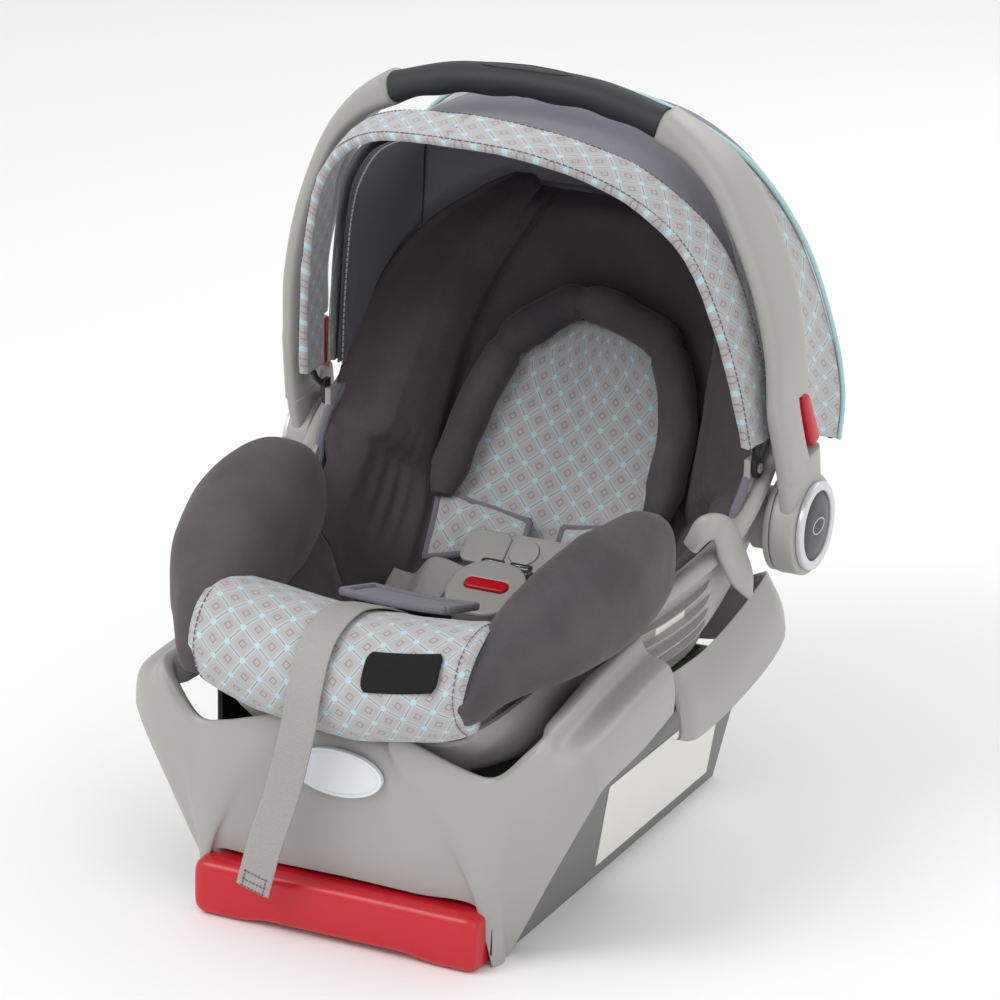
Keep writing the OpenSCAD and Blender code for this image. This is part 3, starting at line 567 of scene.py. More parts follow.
def shell(u, v, h):
    """Point at u along the bucket and v across it, h mm inside its outer surface."""
    angle = 0.0 if abs(v) >= 1 else math.radians(90 * (1 - abs(v)))
    bottom, rim = curve(LOW, u), curve(RIM, u)
    width = float(curve(np.c_[HALF], u)[0])
    depth = np.linalg.norm(bottom - rim)
    way = (bottom - rim) / depth
    c = max(math.cos(angle), 0) ** 0.8
    s = 1 - abs(v) if abs(v) > 1 else math.sin(angle) ** 0.8
    nx, ns = max(math.cos(angle), 0) ** 1.2 / width, math.sin(angle) ** 1.2 / depth
    q = math.hypot(nx, ns)
    down = s * depth - h * ns / q
    x = max(width * c - h * nx / q, 0) * (-1 if v < 0 else 1)
    return np.array([x, rim[0] + way[0] * down, rim[1] + way[1] * down]) * MM


def puff(s, t, power=0.35):
    """Height of a cushion at s and t of its length and width: 0 at its edges, 1 over most of it."""
    return (max(0, math.sin(math.pi * s)) * max(0, math.sin(math.pi * t))) ** power


def dent(x, at, width):
    """0 away from a seam, 1 in its middle."""
    return math.exp(-((x - at) / width) ** 2)


def crumple(obj, amount, scale, seed=0.0, keep=None):
    """Moves a soft piece's points along their normals by smooth noise, for hand-made unevenness."""
    mesh = obj.data
    normals = [v.normal.copy() for v in mesh.vertices]
    for v, n in zip(mesh.vertices, normals):
        if keep is not None and not keep(v.co):
            continue
        p = v.co * scale + Vector((seed, seed * 0.7, -seed))
        v.co += n * amount * (noise.noise(p) + 0.45 * noise.noise(p * 2.3))
    mesh.update()


def swell(obj, pressure, cap, voxel, frames=16):
    """Blows a closed soft piece up like a stuffed cushion, and keeps the result as its mesh."""
    obj.data.remesh_voxel_size = voxel
    bpy.context.view_layer.objects.active = obj
    obj.select_set(True)
    bpy.ops.object.voxel_remesh()
    obj.select_set(False)
    rest = [v.co.copy() for v in obj.data.vertices]
    modifier = obj.modifiers.new("cloth", "CLOTH")
    settings = modifier.settings
    settings.use_pressure = True
    settings.uniform_pressure_force = pressure
    settings.effector_weights.gravity = 0
    settings.quality = 5
    settings.mass = 0.3
    settings.bending_stiffness = 0.4
    modifier.point_cache.frame_start, modifier.point_cache.frame_end = 1, frames
    for step in range(1, frames + 1):
        bpy.context.scene.frame_set(step)
    blown = obj.evaluated_get(bpy.context.evaluated_depsgraph_get())
    new = [v.co.copy() for v in blown.to_mesh().vertices]
    blown.to_mesh_clear()
    obj.modifiers.remove(modifier)
    bpy.context.scene.frame_set(1)
    for v, a, b in zip(obj.data.vertices, rest, new):
        move = b - a
        v.co = a + (move if move.length < cap else move.normalized() * cap)
    shade_smooth(obj.data)
    obj.data.update()
    print(obj.name, "swelled", len(rest), "points")


def finer(obj):
    """Adds one level of subdivision."""
    modifier = obj.modifiers.new("subdivision", "SUBSURF")
    modifier.levels = modifier.render_levels = 1


def softened(node, name, material, width=0.0008, segments=2):
    """A copy of a hard CAD node with its outer sharp edges rounded; it stands for the node."""
    bm = bmesh.new()
    bm.from_mesh(frame["nodes"][node].data)
    bmesh.ops.remove_doubles(bm, verts=bm.verts, dist=1e-5)
    bmesh.ops.dissolve_limit(bm, angle_limit=math.radians(1.2), verts=bm.verts, edges=bm.edges)
    sharp = [e for e in bm.edges if e.is_convex and e.calc_face_angle(0) > math.radians(34)]
    bmesh.ops.bevel(bm, geom=sharp, offset=width, segments=segments, profile=0.6, affect="EDGES",
                    clamp_overlap=True)
    bmesh.ops.recalc_face_normals(bm, faces=bm.faces)
    mesh = bpy.data.meshes.new(name)
    bm.to_mesh(mesh)
    bm.free()
    shade_smooth(mesh)
    mesh.set_sharp_from_angle(angle=math.radians(38))
    mesh.materials.append(material)
    return ride(add_object(name, mesh), body_of_node[node], slot_of_node[node], node)


def dress(node, material):
    """Gives a CAD node that already has the right shape its finish."""
    mesh = frame["nodes"][node].data
    mesh.materials.clear()
    mesh.materials.append(material)


record = frame["record"]
body_of_node = {n: b for b, nodes in record["behaviour"]["bodies"].items() for n in nodes}
slot_of_node = {s["node"]: s["material_slot"] for s in record["subparts"]}

# %% [markdown]
# ## Stitches with Geometry Nodes
# A seam is the same short thread repeated along a line, which is what Geometry Nodes are good at.
# The tree turns the drawn edges into a curve, spaces points along it, and puts a small thread at
# each point, turned to follow the line. Realize Instances makes them real faces at the end.


# %% Stitch tree
def stitch_tree():
    tree, given, done = group(
        "stitches along a line",
        [("Geometry", "NodeSocketGeometry", None), ("Spacing", "NodeSocketFloat", 0.005),
         ("Stitch Length", "NodeSocketFloat", 0.0034), ("Thread", "NodeSocketFloat", 0.0005),
         ("Material", "NodeSocketMaterial", None)],
        [("Geometry", "NodeSocketGeometry")], "GeometryNodeTree")
    to_curve = tree.nodes.new("GeometryNodeMeshToCurve")
    points = tree.nodes.new("GeometryNodeCurveToPoints")
    points.mode = "LENGTH"
    thread = tree.nodes.new("GeometryNodeMeshCylinder")
    thread.inputs["Vertices"].default_value = 6
    place_on = tree.nodes.new("GeometryNodeInstanceOnPoints")
    real = tree.nodes.new("GeometryNodeRealizeInstances")
    paint = tree.nodes.new("GeometryNodeSetMaterial")
    link = tree.links.new
    link(given["Geometry"], to_curve.inputs["Mesh"])
    link(to_curve.outputs["Curve"], points.inputs["Curve"])
    link(given["Spacing"], points.inputs["Length"])
    link(given["Thread"], thread.inputs["Radius"])
    link(given["Stitch Length"], thread.inputs["Depth"])
    link(points.outputs["Points"], place_on.inputs["Points"])
    link(points.outputs["Rotation"], place_on.inputs["Rotation"])
    link(thread.outputs["Mesh"], place_on.inputs["Instance"])
    link(place_on.outputs["Instances"], real.inputs["Geometry"])
    link(real.outputs["Geometry"], paint.inputs["Geometry"])
    link(given["Material"], paint.inputs["Material"])
    link(paint.outputs["Geometry"], done["Geometry"])
    return tree


stitch_nodes = stitch_tree()
white_thread = woven("white thread", "#dcdad8", 0.0006, kind="Object")
slate_thread = woven("slate thread", "#5d5a66", 0.0006, kind="Object")


def stitches(name, lines, material, body, slot, spacing=0.005, length=0.0034, thread=0.00045):
    """One mesh of threads along several lines of points, on one body."""
    verts, edges = [], []
    for points in lines:
        start = len(verts)
        verts += [tuple(p) for p in points]
        edges += [(start + i, start + i + 1) for i in range(len(points) - 1)]
    mesh = bpy.data.meshes.new(name + " lines")
    mesh.from_pydata(verts, edges, [])
    obj = add_object(name + "_lines", mesh)
    modifier = obj.modifiers.new("stitches", "NODES")
    modifier.node_group = stitch_nodes
    given = {"Spacing": spacing, "Stitch Length": length, "Thread": thread, "Material": material}
    for item in stitch_nodes.interface.items_tree:
        if item.item_type == "SOCKET" and item.in_out == "INPUT" and item.name in given:
            modifier[item.identifier] = given[item.name]
    shown = obj.evaluated_get(bpy.context.evaluated_depsgraph_get())
    made = bpy.data.meshes.new_from_object(shown)
    made.name = name
    bpy.data.objects.remove(obj)
    if not made.materials:
        made.materials.append(material)
    return ride(add_object(name, made), body, slot)


# %% [markdown]
# ## Base
# The base is a vehicle-mounted tray. Its light front panel is one sheet that rolls over at the
# top and turns the corner into two shoulders. The section of that roll is drawn through eight
# points and smoothed, then carried round the front, so the fold stays soft all the way.

# %% Front panel and rear rim of the base
FRONT_LOW = [(0, -206, 49), (60, -206, 48), (112, -204, 46), (122, -202, 2), (126, -192, 0), (126, -178, 4),
             (160, -180, 74), (188, -180, 130), (194, -168, 146), (192, -100, 149), (185, -27, 152)]
FRONT_TOP = [(0, -209, 163), (37, -209, 163), (46, -213, 171), (96, -212, 155), (124, -209, 152),
             (148, -206, 174), (161, -198, 186), (162, -184, 190), (160, -150, 192), (156, -90, 197),
             (154, -18, 201)]
FRONT_OUT = [(0, -1, 0), (0, -1, 0), (0, -1, 0), (0, -1, 0), (0.2, -1, 0), (0.4, -0.9, 0), (0.7, -0.7, 0),
             (0.9, -0.4, 0), (1, -0.1, 0), (1, 0, 0), (1, 0, 0)]
BACK_LOW = [(0, 214, 112), (60, 214, 114), (120, 214, 120), (166, 208, 132), (183, 194, 138),
            (188, 160, 130), (190, 105, 123), (191, 50, 119), (190, -8, 118)]
BACK_TOP = [(0, 212, 152), (60, 212, 156), (118, 211, 166), (156, 204, 184), (170, 186, 192),
            (173, 150, 186), (173, 100, 176), (173, 50, 171), (172, 2, 172)]
BACK_OUT = [(0, 1, 0), (0, 1, 0), (0.1, 1, 0), (0.6, 0.8, 0), (1, 0.3, 0), (1, 0, 0), (1, 0, 0), (1, 0, 0),
            (1, 0, 0)]
UP = np.array([0, 0, 1.0])


def front_wall(t, h):
    """Section of the front panel at t round the front, h mm inside its outer face."""
    a, b, o = curve(FRONT_LOW, t), curve(FRONT_TOP, t), unit(curve(FRONT_OUT, t))
    a[2] = max(a[2], 0.3)
    full = min(1, max(0, (t - 4) / 3))
    fold = b - o * (9 + 5 * full - 7 * max(0, t - 9))
    swell_out = 5 + 9 * full
    return [a - o * h, mix(a, b, 0.35) + o * (swell_out * 0.7 - h), mix(a, b, 0.7) + o * (swell_out - h),
            b + o * (2 + 3 * full - h) - UP * 9, b + o * (-1 - 0.7 * h) - UP * 0.7 * h,
            mix(b, fold, 0.5) + UP * (1 + full - h), fold + o * 0.7 * h - UP * (3 + 0.7 * h),
            fold - o * (2 - h) - UP * (14 + 10 * full)]


def back_wall(t, h):
    """Section of the rear panel; its last 5 mm turn inwards so its end is not a raw edge."""
    a, b, o = curve(BACK_LOW, t), curve(BACK_TOP, t), unit(curve(BACK_OUT, t))
    turn = o * 7 * max(0, (t - 7.75) / 0.25) ** 2
    pinch = UP * max(0, (t - 7.5) / 0.5) ** 2
    a, b = a - turn + 4 * pinch, b - turn - 3 * pinch
    return [a - o * (h + 6), a + o * (1 - h) + UP * 3, mix(a, b, 0.5) + o * (5 - h), b + o * (2 - h) - UP * 5,
            b - o * (1 + 0.5 * h) - UP * 0.7 * h, b - o * 2 - UP * (5 + h)]


def rolled(wall, last, h, n, k):
    """The smoothed section carried from one tip, round the middle, to the other."""
    rows = []
    for i in range(-n, n + 1):
        section = wall(last * abs(i) / n, h)
        row = np.array([curve(section, (len(section) - 1) * j / k) for j in range(k + 1)])
        row[:, 0] *= -1 if i < 0 else 1
        if i == 0:
            row[:, 0] = 0
        rows.append(row * MM)
    return np.array(rows)


for name, node, wall, last, thick, n, k in (
        ("base_front_panel", "base_front_shell", front_wall, 10, 3, 70, 35),
        ("base_rear_panel", "base_rear_rim", back_wall, 8, 2.5, 56, 20)):
    panel = grid_solid(name, rolled(wall, last, 0, n, k), rolled(wall, last, thick, n, k), light_plastic, 40)
    ride(panel, "base", "light_plastic", node)

# %% [markdown]
# The hard parts inside the base are already right in the frame. They get their finishes, and the
# ones with an edge that catches the light are copied with that edge rounded.

# %% Tub, receiver, bars, badge and labels
for node, material in (("base_receiver", black_plastic), ("latch_bars", steel), ("foot_pin", steel),
                       ("foam_liner", bead_foam)):
    dress(node, material)
softened("base_tub", "base_tub_body", tub_plastic, 0.0012)
softened("foot_brackets", "foot_bracket_pair", black_plastic, 0.0008)
softened("base_badge", "base_badge_plate", badge_plate, 0.0009, 3)
softened("base_labels", "base_label_pair", label_film, 0.0001, 1)

# %% [markdown]
# ## Levelling foot
# The red foot is a bar with rounded edges and rounded ends, slightly arched between its two feet.
# Rings of a rounded rectangle are set along the bar; the last few shrink to round the ends off.

# %% Red foot
def foot_ring(x):
    """Section of the bar at x; its underside is arched between the two feet."""
    end = max(0, (abs(x) - 108) / 10)
    shrink = 1 - 0.24 * (1 - math.sqrt(max(0, 1 - min(end, 1) ** 2)))
    arch = 4 * smooth((84 - abs(x)) / 30)
    points = []
    for k in range(40):
        g = 2 * math.pi * (k + 0.5) / 40
        s, c = math.sin(g), math.cos(g)
        y = math.copysign(abs(c) ** 0.42, c) * 20 * shrink
        z = math.copysign(abs(s) ** 0.42, s) * 22.5 * shrink
        points.append((x, -204 + y, (z if z > 0 else z * (22.5 - arch) / 22.5) + 22.5))
    return points


end_stations = [105, 109, 112, 114.5, 116.5, 117.6, 118]
stations = [-x for x in reversed(end_stations)] + list(range(-98, 99, 7)) + end_stations
foot = tube_solid("levelling_foot", np.array([foot_ring(x) for x in stations]) * MM, red_plastic, 50)
ride(foot, "foot", "red_plastic", "level_foot")

# %% [markdown]
# ## Carrier shell
# The moulded bucket is the surface rule itself, drawn finely, with a wall behind it. The rolled
# rim is a second strip along the edge, and five ribs stand out low on each side.

# %% Bucket, rims and ribs
bucket = grid_solid("carrier_bucket",
                    *([[shell(12 * i / 60, 2 * j / 52 - 1, h) for j in range(53)] for i in range(61)]
                      for h in (0, 3.5)), light_plastic, 40)
ride(bucket, "carrier", "light_plastic", "carrier_shell")


def rim_strip(side):
    """The rolled edge of one side: its outer and its under face."""
    outer, inner = [], []
    lip = [(0.2, 0), (2.5, 1), (6, 1.6), (9, 1), (11, -1.5), (11.6, -5), (11, -8)]
    under = [(0.2, -3), (2.5, -2.2), (5, -1.4), (6.6, -2), (7.8, -3.6), (8.8, -6), (8.5, -8)]
    for i in range(73):
        p = shell(4.6 + 7.2 * i / 72, 1, 0) / MM
        outer.append([(side * (p[0] + x), p[1], p[2] + z) for x, z in lip])
        inner.append([(side * (p[0] + x), p[1], p[2] + z) for x, z in under])
    return np.array(outer) * MM, np.array(inner) * MM


def join(name, objs):
    """Joins finished meshes into one piece."""
    bpy.ops.object.select_all(action="DESELECT")
    for obj in objs:
        obj.select_set(True)
    bpy.context.view_layer.objects.active = objs[0]
    bpy.ops.object.join()
    objs[0].name = objs[0].data.name = name
    objs[0].select_set(False)
    return objs[0]


rims = join("carrier_rims", [grid_solid("rim", *rim_strip(s), light_plastic, 45) for s in (1, -1)])
ride(rims, "carrier", "light_plastic", "shell_rims")
ribs = []
for side in (1, -1):
    for k in range(5):
        v = 0.70 + 0.055 * k
        edge = [shell(4.35 + 1.9 * i / 20, side * v, -0.2 - 7 * math.sin(math.pi * min(1, i / 20 + 0.08)) ** 0.5)
                for i in range(21)]
        base_line = [shell(4.35 + 1.9 * i / 20, side * v, 0.4) for i in range(21)]
        lift = np.array([0, 0, 0.0011])
        ribs.append(grid_solid("rib", [base_line, edge], [np.array(base_line) + lift, np.array(edge) + lift],
                               light_plastic, 40))
ride(join("carrier_side_ribs", ribs), "carrier", "light_plastic")
for node in ("carrier_saddles", "lever_brackets", "canopy_brackets"):
    softened(node, node + "_body", light_plastic, 0.0006)
for node in ("latch_slide", "lever_pin", "pivot_pins", "adjuster_lever"):
    dress(node, steel)
softened("release_lever", "release_lever_body", red_plastic, 0.0012, 3)
softened("shell_label", "shell_label_film", label_film, 0.0001, 1)
softened("adjuster_housing", "adjuster_housing_body", black_plastic, 0.001)

GUIDE = [(168, 34, 262), (178, 36, 277), (187, 42, 278), (189, 56, 262), (190, 72, 240), (192, 86, 222),
         (193, 94, 208)]
GUIDE_WIDE = np.array([7, 10, 11, 16, 15, 11, 4]) * MM
GUIDE_THICK = np.array([5, 5, 4.5, 4.5, 4.5, 4, 2]) * MM
guide_left = sweep(np.array(GUIDE) * MM, (0, 0.3, 1), GUIDE_WIDE, GUIDE_THICK, 40, 24, 0.8)
guides = join("belt_guide_pair", [tube_solid("guide", guide_left * np.array([s, 1, 1]), light_plastic, 50)
                                  for s in (1, -1)])
ride(guides, "carrier", "light_plastic", "belt_guides")

# %% [markdown]
# ## Seat padding
# The plush pads lie on the bucket rule, each with its own height map: a cushion rises quickly from
# its edge and is drawn down again along its seams. Fine noise along the normals keeps them from
# looking machined.

# %% Back pad and seat pad
PAD_BED = 20.9


def pad_edge(u):
    """How far across the bucket the back pad reaches."""
    return 0.98 + 0.07 * min(1, max(0, u - 7))


def lip(u, v):
    """1 where the pad reaches over the rim, 0 inside the bucket."""
    return min(1, max(0, (abs(v) - 0.94) / 0.08, (u - 11.75) / 0.3))


def wing(u, v):
    """The raised side cushions beside the head."""
    a, b = (u - 7.9) / 4, (abs(v) - 0.46) / 0.58
    return 0 if min(a, b) <= 0 or max(a, b) >= 1 else 20 * puff(a, b)


def raised(u, v):
    """The head cushions also stand above the rim, into the hood."""
    a = (u - 8.3) / 3.9
    if a <= 0 or a >= 1:
        return np.zeros(3)
    up = 40 * math.sin(math.pi * a) ** 0.8 * min(1, max(0, (abs(v) - 0.6) / 0.35)) ** 1.5
    return np.array([math.copysign(0.1 * up, v), 0, up]) * MM


def pad_rows(top, n=84, m=46):
    rows = []
    for i in range(n + 1):
        u, row = 5.2 + 6.85 * i / n, []
        for j in range(-m, m + 1):
            v = pad_edge(u) * j / m
            e = lip(u, v)
            rise = 20 * puff(i / n, (j / m + 1) / 2) + wing(u, v)
            seam = 4.5 * dent(abs(v), 0.44, 0.016) + 4 * dent(u, 7.85, 0.06) * (abs(v) > 0.44)
            gather = 1.4 * math.sin(v * 60) * dent(u, 7.2, 0.7) * smooth((abs(v) - 0.5) / 0.1)
            height = 4 + (1 - e) * (rise - seam + gather) if top else 0
            row.append(raised(u, v) + shell(u, v, mix(PAD_BED, 1, e) + height))
        rows.append(row)
    return rows


back_pad = grid_solid("back_pad_cushion", pad_rows(True), pad_rows(False), plush)
crumple(back_pad, 0.0016, 20, 3, lambda p: p.z < 0.3 or abs(p.x) < 0.15)
ride(back_pad, "carrier", "plush", "back_pad")


def seat_rows(top, n=44, m=40):
    rows = []
    for i in range(n + 1):
        row = []
        for j in range(-m, m + 1):
            v = 1.04 * j / m
            e = lip(5, v)
            rise = mix(54, 14, min(1, max(0, (abs(v) - 0.55) / 0.2))) - 4 * dent(abs(v), 0.5, 0.02)
            height = 4 + (1 - e) * rise * puff(i / n, (j / m + 1) / 2) if top else 0
            row.append(shell(mix(1.6, 5.1, i / n), v, mix(PAD_BED, 6, e) + height))
        rows.append(row)
    return rows


seat_pad = grid_solid("seat_pad_cushion", seat_rows(True), seat_rows(False), plush)
crumple(seat_pad, 0.0018, 25, 9)
ride(seat_pad, "carrier", "plush", "seat_pad")

# %% [markdown]
# The printed front of the pad curls over the lip of the seat and down its front. It is cut as one
# strip, so its print runs unbroken over the curl, and it is stitched to the plush on both sides.

# %% Printed front pad with its seams
FRONT_MID = [(-218, 166), (-238, 184), (-246, 212), (-232, 240), (-200, 252), (-160, 244), (-120, 226)]
FRONT_IN = [(-212, 174), (-219, 190), (-222, 208), (-212, 222), (-190, 230), (-160, 222), (-126, 206)]


def front_at(line, t, x, h):
    """Point on the curl of the front pad: t along its line, x across it, h mm outwards."""
    p, q = curve(line, t), curve(line, t + 0.05)
    d, e = unit(q - p), (x / 112) ** 2
    return np.array([x, p[0] + 4 * e - h * d[1], p[1] + (20 - 2 * t) * e + h * d[0]]) * MM


def front_height(s, t):
    """Padding of the front pad, drawn in at its two side seams."""
    seams = 3.0 * dent(t, 0, 0.03) + 3.0 * dent(t, 1, 0.03)
    return 1.5 * puff(s, t, 0.5) - seams


def front_rows(line, height):
    return [[front_at(line, 5.9 * i / 60, 224 * j / 72 - 112, height(i / 60, j / 72)) for j in range(73)]
            for i in range(61)]


front_pad = grid_solid("front_pad_cover", front_rows(FRONT_MID, front_height),
                       front_rows(FRONT_IN, lambda s, t: 0), lattice_front)
crumple(front_pad, 0.0016, 26, 5, lambda p: abs(p.x) < 0.106)
ride(front_pad, "carrier", "print_fabric", "front_pad")
stitches("front_pad_stitches",
         [[front_at(FRONT_MID, 5.6 * i / 60, x, front_height(i / 60, (x + 112) / 224) + 0.7) for i in range(3, 59)]
          for x in (-106, 106)], slate_thread, "carrier", "print_fabric")

# %% Blank woven tag
def tag_x(i, j):
    """The tag is a rectangle with rounded corners."""
    return 64 + 3 * (j - 10) * (1 - 0.11 * max(0, abs(i - 6) - 3) ** 2 / 9)


tag = grid_solid("front_tag_blank",
                 *([[front_at(FRONT_MID, 2.1 + 0.9 * i / 12, tag_x(i, j), h) for j in range(21)]
                    for i in range(13)] for h in (3.0, 2.1)), tag_cloth)
ride(tag, "carrier", "tag", "front_tag")

# %% [markdown]
# The two bolsters beside the legs are stuffed plush rolls. Each starts as a tube with a boxy
# section and is then blown up like a real cushion by a short cloth simulation.

# %% Leg bolsters
ROLL = [(112, -236, 206), (114, -224, 214), (119, -196, 230), (134, -150, 247), (146, -100, 257),
        (152, -50, 262), (153, -12, 263), (153, 10, 263), (153, 22, 263)]
ROLL_A = np.array([8, 14, 22, 33, 36, 34, 28, 18, 8])
ROLL_B = np.array([12, 20, 31, 44, 50, 50, 43, 26, 9])
for side, label, wide, high, lean in ((1, "left", 0.93, 0.95, -2), (-1, "right", 1.22, 1.12, 0)):
    rings = sweep((np.array(ROLL) + [lean, 0, 0]) * MM, (1, 0, 0), ROLL_A * 0.97 * wide * MM,
                  ROLL_B * 0.97 * high * MM, 56, 44, 0.85)
    bolster = tube_solid("leg_bolster_" + label + "_roll", rings * np.array([side, 1, 1]), plush)
    swell(bolster, 4.0, 0.004, 0.006)
    crumple(bolster, 0.0026, 17, 2 + side)
    finer(bolster)
    ride(bolster, "carrier", "plush", "leg_bolster_" + label)

# %% [markdown]
# The head support is a horseshoe of stuffed plush, tied in at a few places so it bends. The ties
# are drawn by narrowing the roll there.

# %% Head support and body pillow
HEAD_ROLL_BED = 63
HEAD = [(7.5, -0.41), (8.1, -0.38), (8.75, -0.33), (9.85, -0.24), (10.33, -0.14), (10.65, -0.03),
        (10.45, 0.12), (10.14, 0.25), (9.16, 0.37), (8.3, 0.4), (7.6, 0.41)]
TIES = (0.3, 0.5, 0.7)
head_sizes = np.array([min(15.5, 8 + 90 * min(s, 1 - s)) * (1 - 0.2 * sum(dent(s, k, 0.01) for k in TIES))
                       for s in np.linspace(0, 1, 141)]) * MM
head_rings = sweep([shell(u, v, HEAD_ROLL_BED) for u, v in HEAD], (0, -0.85, 0.5), head_sizes, head_sizes, 140, 32)
head_roll = tube_solid("head_support_roll", head_rings, plush)
crumple(head_roll, 0.0014, 38, 12)
ride(head_roll, "carrier", "plush", "head_roll")


PILLOW_BED = 45.7
PILLOW_HALF = np.c_[[0.26, 0.33, 0.37, 0.36, 0.31, 0.23, 0.1]]


def pillow_rows(top, n=56, m=26):
    """Upper or under face of the pillow, whose half width follows PILLOW_HALF."""
    rows = []
    for i in range(n + 1):
        w = float(curve(PILLOW_HALF, 6 * i / n)[0])
        row = []
        for j in range(-m, m + 1):
            height = 2.8 + (9 - 4.5 * dent(j / m, 0, 0.06)) * puff(i / n, (j / m + 1) / 2) if top else 0
            row.append(shell(mix(6, 10.35, i / n), w * j / m, PILLOW_BED + height))
        rows.append(row)
    return rows


pillow = grid_solid("body_pillow_cover", pillow_rows(True), pillow_rows(False), lattice_cotton)
crumple(pillow, 0.0012, 34, 7)
finer(pillow)
ride(pillow, "carrier", "print_fabric", "body_pillow")


# %% [markdown]
# ## Bindings
# The raw edges of pads and covers are wrapped in a narrow mauve tape. A binding is a soft tube
# with a flat section that follows the edge.

# %% Binding along an edge
def binding(name, points, side, wide, thick, n):
    """A tape round an edge; wide and thick are half sizes."""
    return tube_solid(name, sweep(points, side, wide, thick, n, 12, 0.8), mauve)


edge_route = [shell(u, -pad_edge(u), 3.2) for u in np.linspace(5.25, 11.9, 30)]
edge_route += [shell(12.06, v, 3.2) for v in np.linspace(-0.95, 0.95, 21)]
edge_route += [shell(u, pad_edge(u), 3.2) for u in np.linspace(11.9, 5.25, 30)]
ride(binding("back_pad_binding", edge_route, (0.3, -0.6, 0.7), 0.0042, 0.0036, 320), "carrier", "canopy_fabric")

# %% [markdown]
# ## Harness
# Webbing is modelled as what it is: a flat ribbon with a thin rounded section, swept along its
# route. It never goes through a simulation, which would smooth it away.

# %% Webbing
BELT_H = 63.5


def ribbon(name, points, side=(1, 0, 0)):
    """Harness webbing, 38 mm wide and 1.6 mm thick."""
    return tube_solid(name, sweep(points, side, 0.019, 0.0008, 60, 16, 0.5), webbing)


shoulders = [ribbon("shoulder", [shell(7.4, 0.13 * s, BELT_H - 3),
                                 shell(7.2, 0.12 * s, BELT_H), shell(7.0, 0.11 * s, BELT_H),
                                 shell(6.8, 0.1 * s, BELT_H + 1)]) for s in (1, -1)]
ride(join("shoulder_webbing", shoulders), "carrier", "webbing", "harness_straps")
laps = []
for s in (1, -1):
    route = [shell(5.5, 0.62, 52), shell(5.5, 0.5, 66), np.array([62, 46, 194]) * MM, np.array([36, 40, 193]) * MM]
    laps.append(ribbon("lap", np.array(route) * np.array([s, 1, 1]), (0, 0.8, 0.5)))
ride(join("lap_webbing", laps), "carrier", "webbing", "lap_straps")
crotch = ribbon("crotch_webbing", np.array([(0, 0, 150), (0, -4, 164), (0, -4, 174), (0, 0.5, 181)]) * MM)
ride(crotch, "carrier", "webbing", "crotch_strap")

# %% Adjuster webbing with its stitched end
tail_rings = sweep(tail_path, (1, 0, 0), 0.014, 0.0008, 120, 16, 0.5)
tail_strap = tube_solid("adjuster_webbing", tail_rings, webbing)
ride(tail_strap, "carrier", "webbing", "adjuster_strap")


def tail_line(t0, t1, across):
    """Points just off the front of the webbing, from place t0 to t1 along it."""
    points = []
    for i in range(9):
        t = mix(t0, t1, i / 8) * 60
        c = curve(tail_path, t)
        d = unit(curve(tail_path, min(t + 0.5, 60)) - curve(tail_path, max(t - 0.5, 0)))
        a = unit(np.array([1, 0, 0]) - d * d[0])
        out = np.cross(d, a)
        out = out if out[1] < 0 else -out
        points.append(c + a * across + out * 0.0011)
    return points


tail_seams = [tail_line(0.955, 0.995, x) for x in (-0.009, 0.009)]
tail_seams += [[tail_line(t, t + 0.001, x)[0] for x in np.linspace(-0.009, 0.009, 6)]
               for t in (0.955, 0.975, 0.995)]
tail_thread = stitches("adjuster_webbing_stitches", tail_seams, slate_thread, "carrier", "webbing", 0.0028, 0.002,
                       0.0004)

# %% Strap covers with bound edges
COVER_BED = 65.3


def cover_rows(s, top, n=26, m=34):
    """Upper or under face of the cover on side s."""
    rows = []
    for i in range(n + 1):
        row = []
        for j in range(m + 1):
            k = j / m
            v, a, b = 0.03 + 0.39 * k, 7.45 + 0.2 * k, 6.98 - 0.45 * k
            quilt = 6 * puff(i / n, k) - 2.5 * dent(k, 0.55, 0.05) * puff(i / n, k)
            bed = COVER_BED - 45 * max(0, v - 0.15)
            row.append(shell(mix(a, b, i / n), s * v, bed + (3.2 + quilt if top else 0)))
        rows.append(row)
    return np.array(rows)


covers, cover_edges = [], []
for s in (1, -1):
    top, low = cover_rows(s, True), cover_rows(s, False)
    covers.append(grid_solid("cover", top, low, lattice_cotton))
    loop = np.concatenate([top[0], top[1:, -1], top[-1][-2::-1], top[-2::-1, 0]])
    cover_edges.append(binding("edge", loop, (0, 0.4, 1), 0.0028, 0.0026, 150))
cover = join("strap_cover_pair", covers)
crumple(cover, 0.0008, 45, 4)
ride(cover, "carrier", "print_fabric", "strap_covers")
ride(join("strap_cover_bindings", cover_edges), "carrier", "canopy_fabric")

# %% Clip, buckle and tongues
softened("chest_clip_left", "chest_clip_left_half", light_plastic, 0.0016, 3)
softened("chest_clip_right", "chest_clip_right_half", light_plastic, 0.0016, 3)
softened("chest_clip_button", "chest_clip_round_button", clip_grey, 0.001, 3)
softened("buckle_housing", "buckle_body", light_plastic, 0.003, 4)
softened("buckle_button", "buckle_release_button", red_plastic, 0.001, 3)
softened("buckle_tongues", "buckle_tongue_pair", steel, 0.0003)

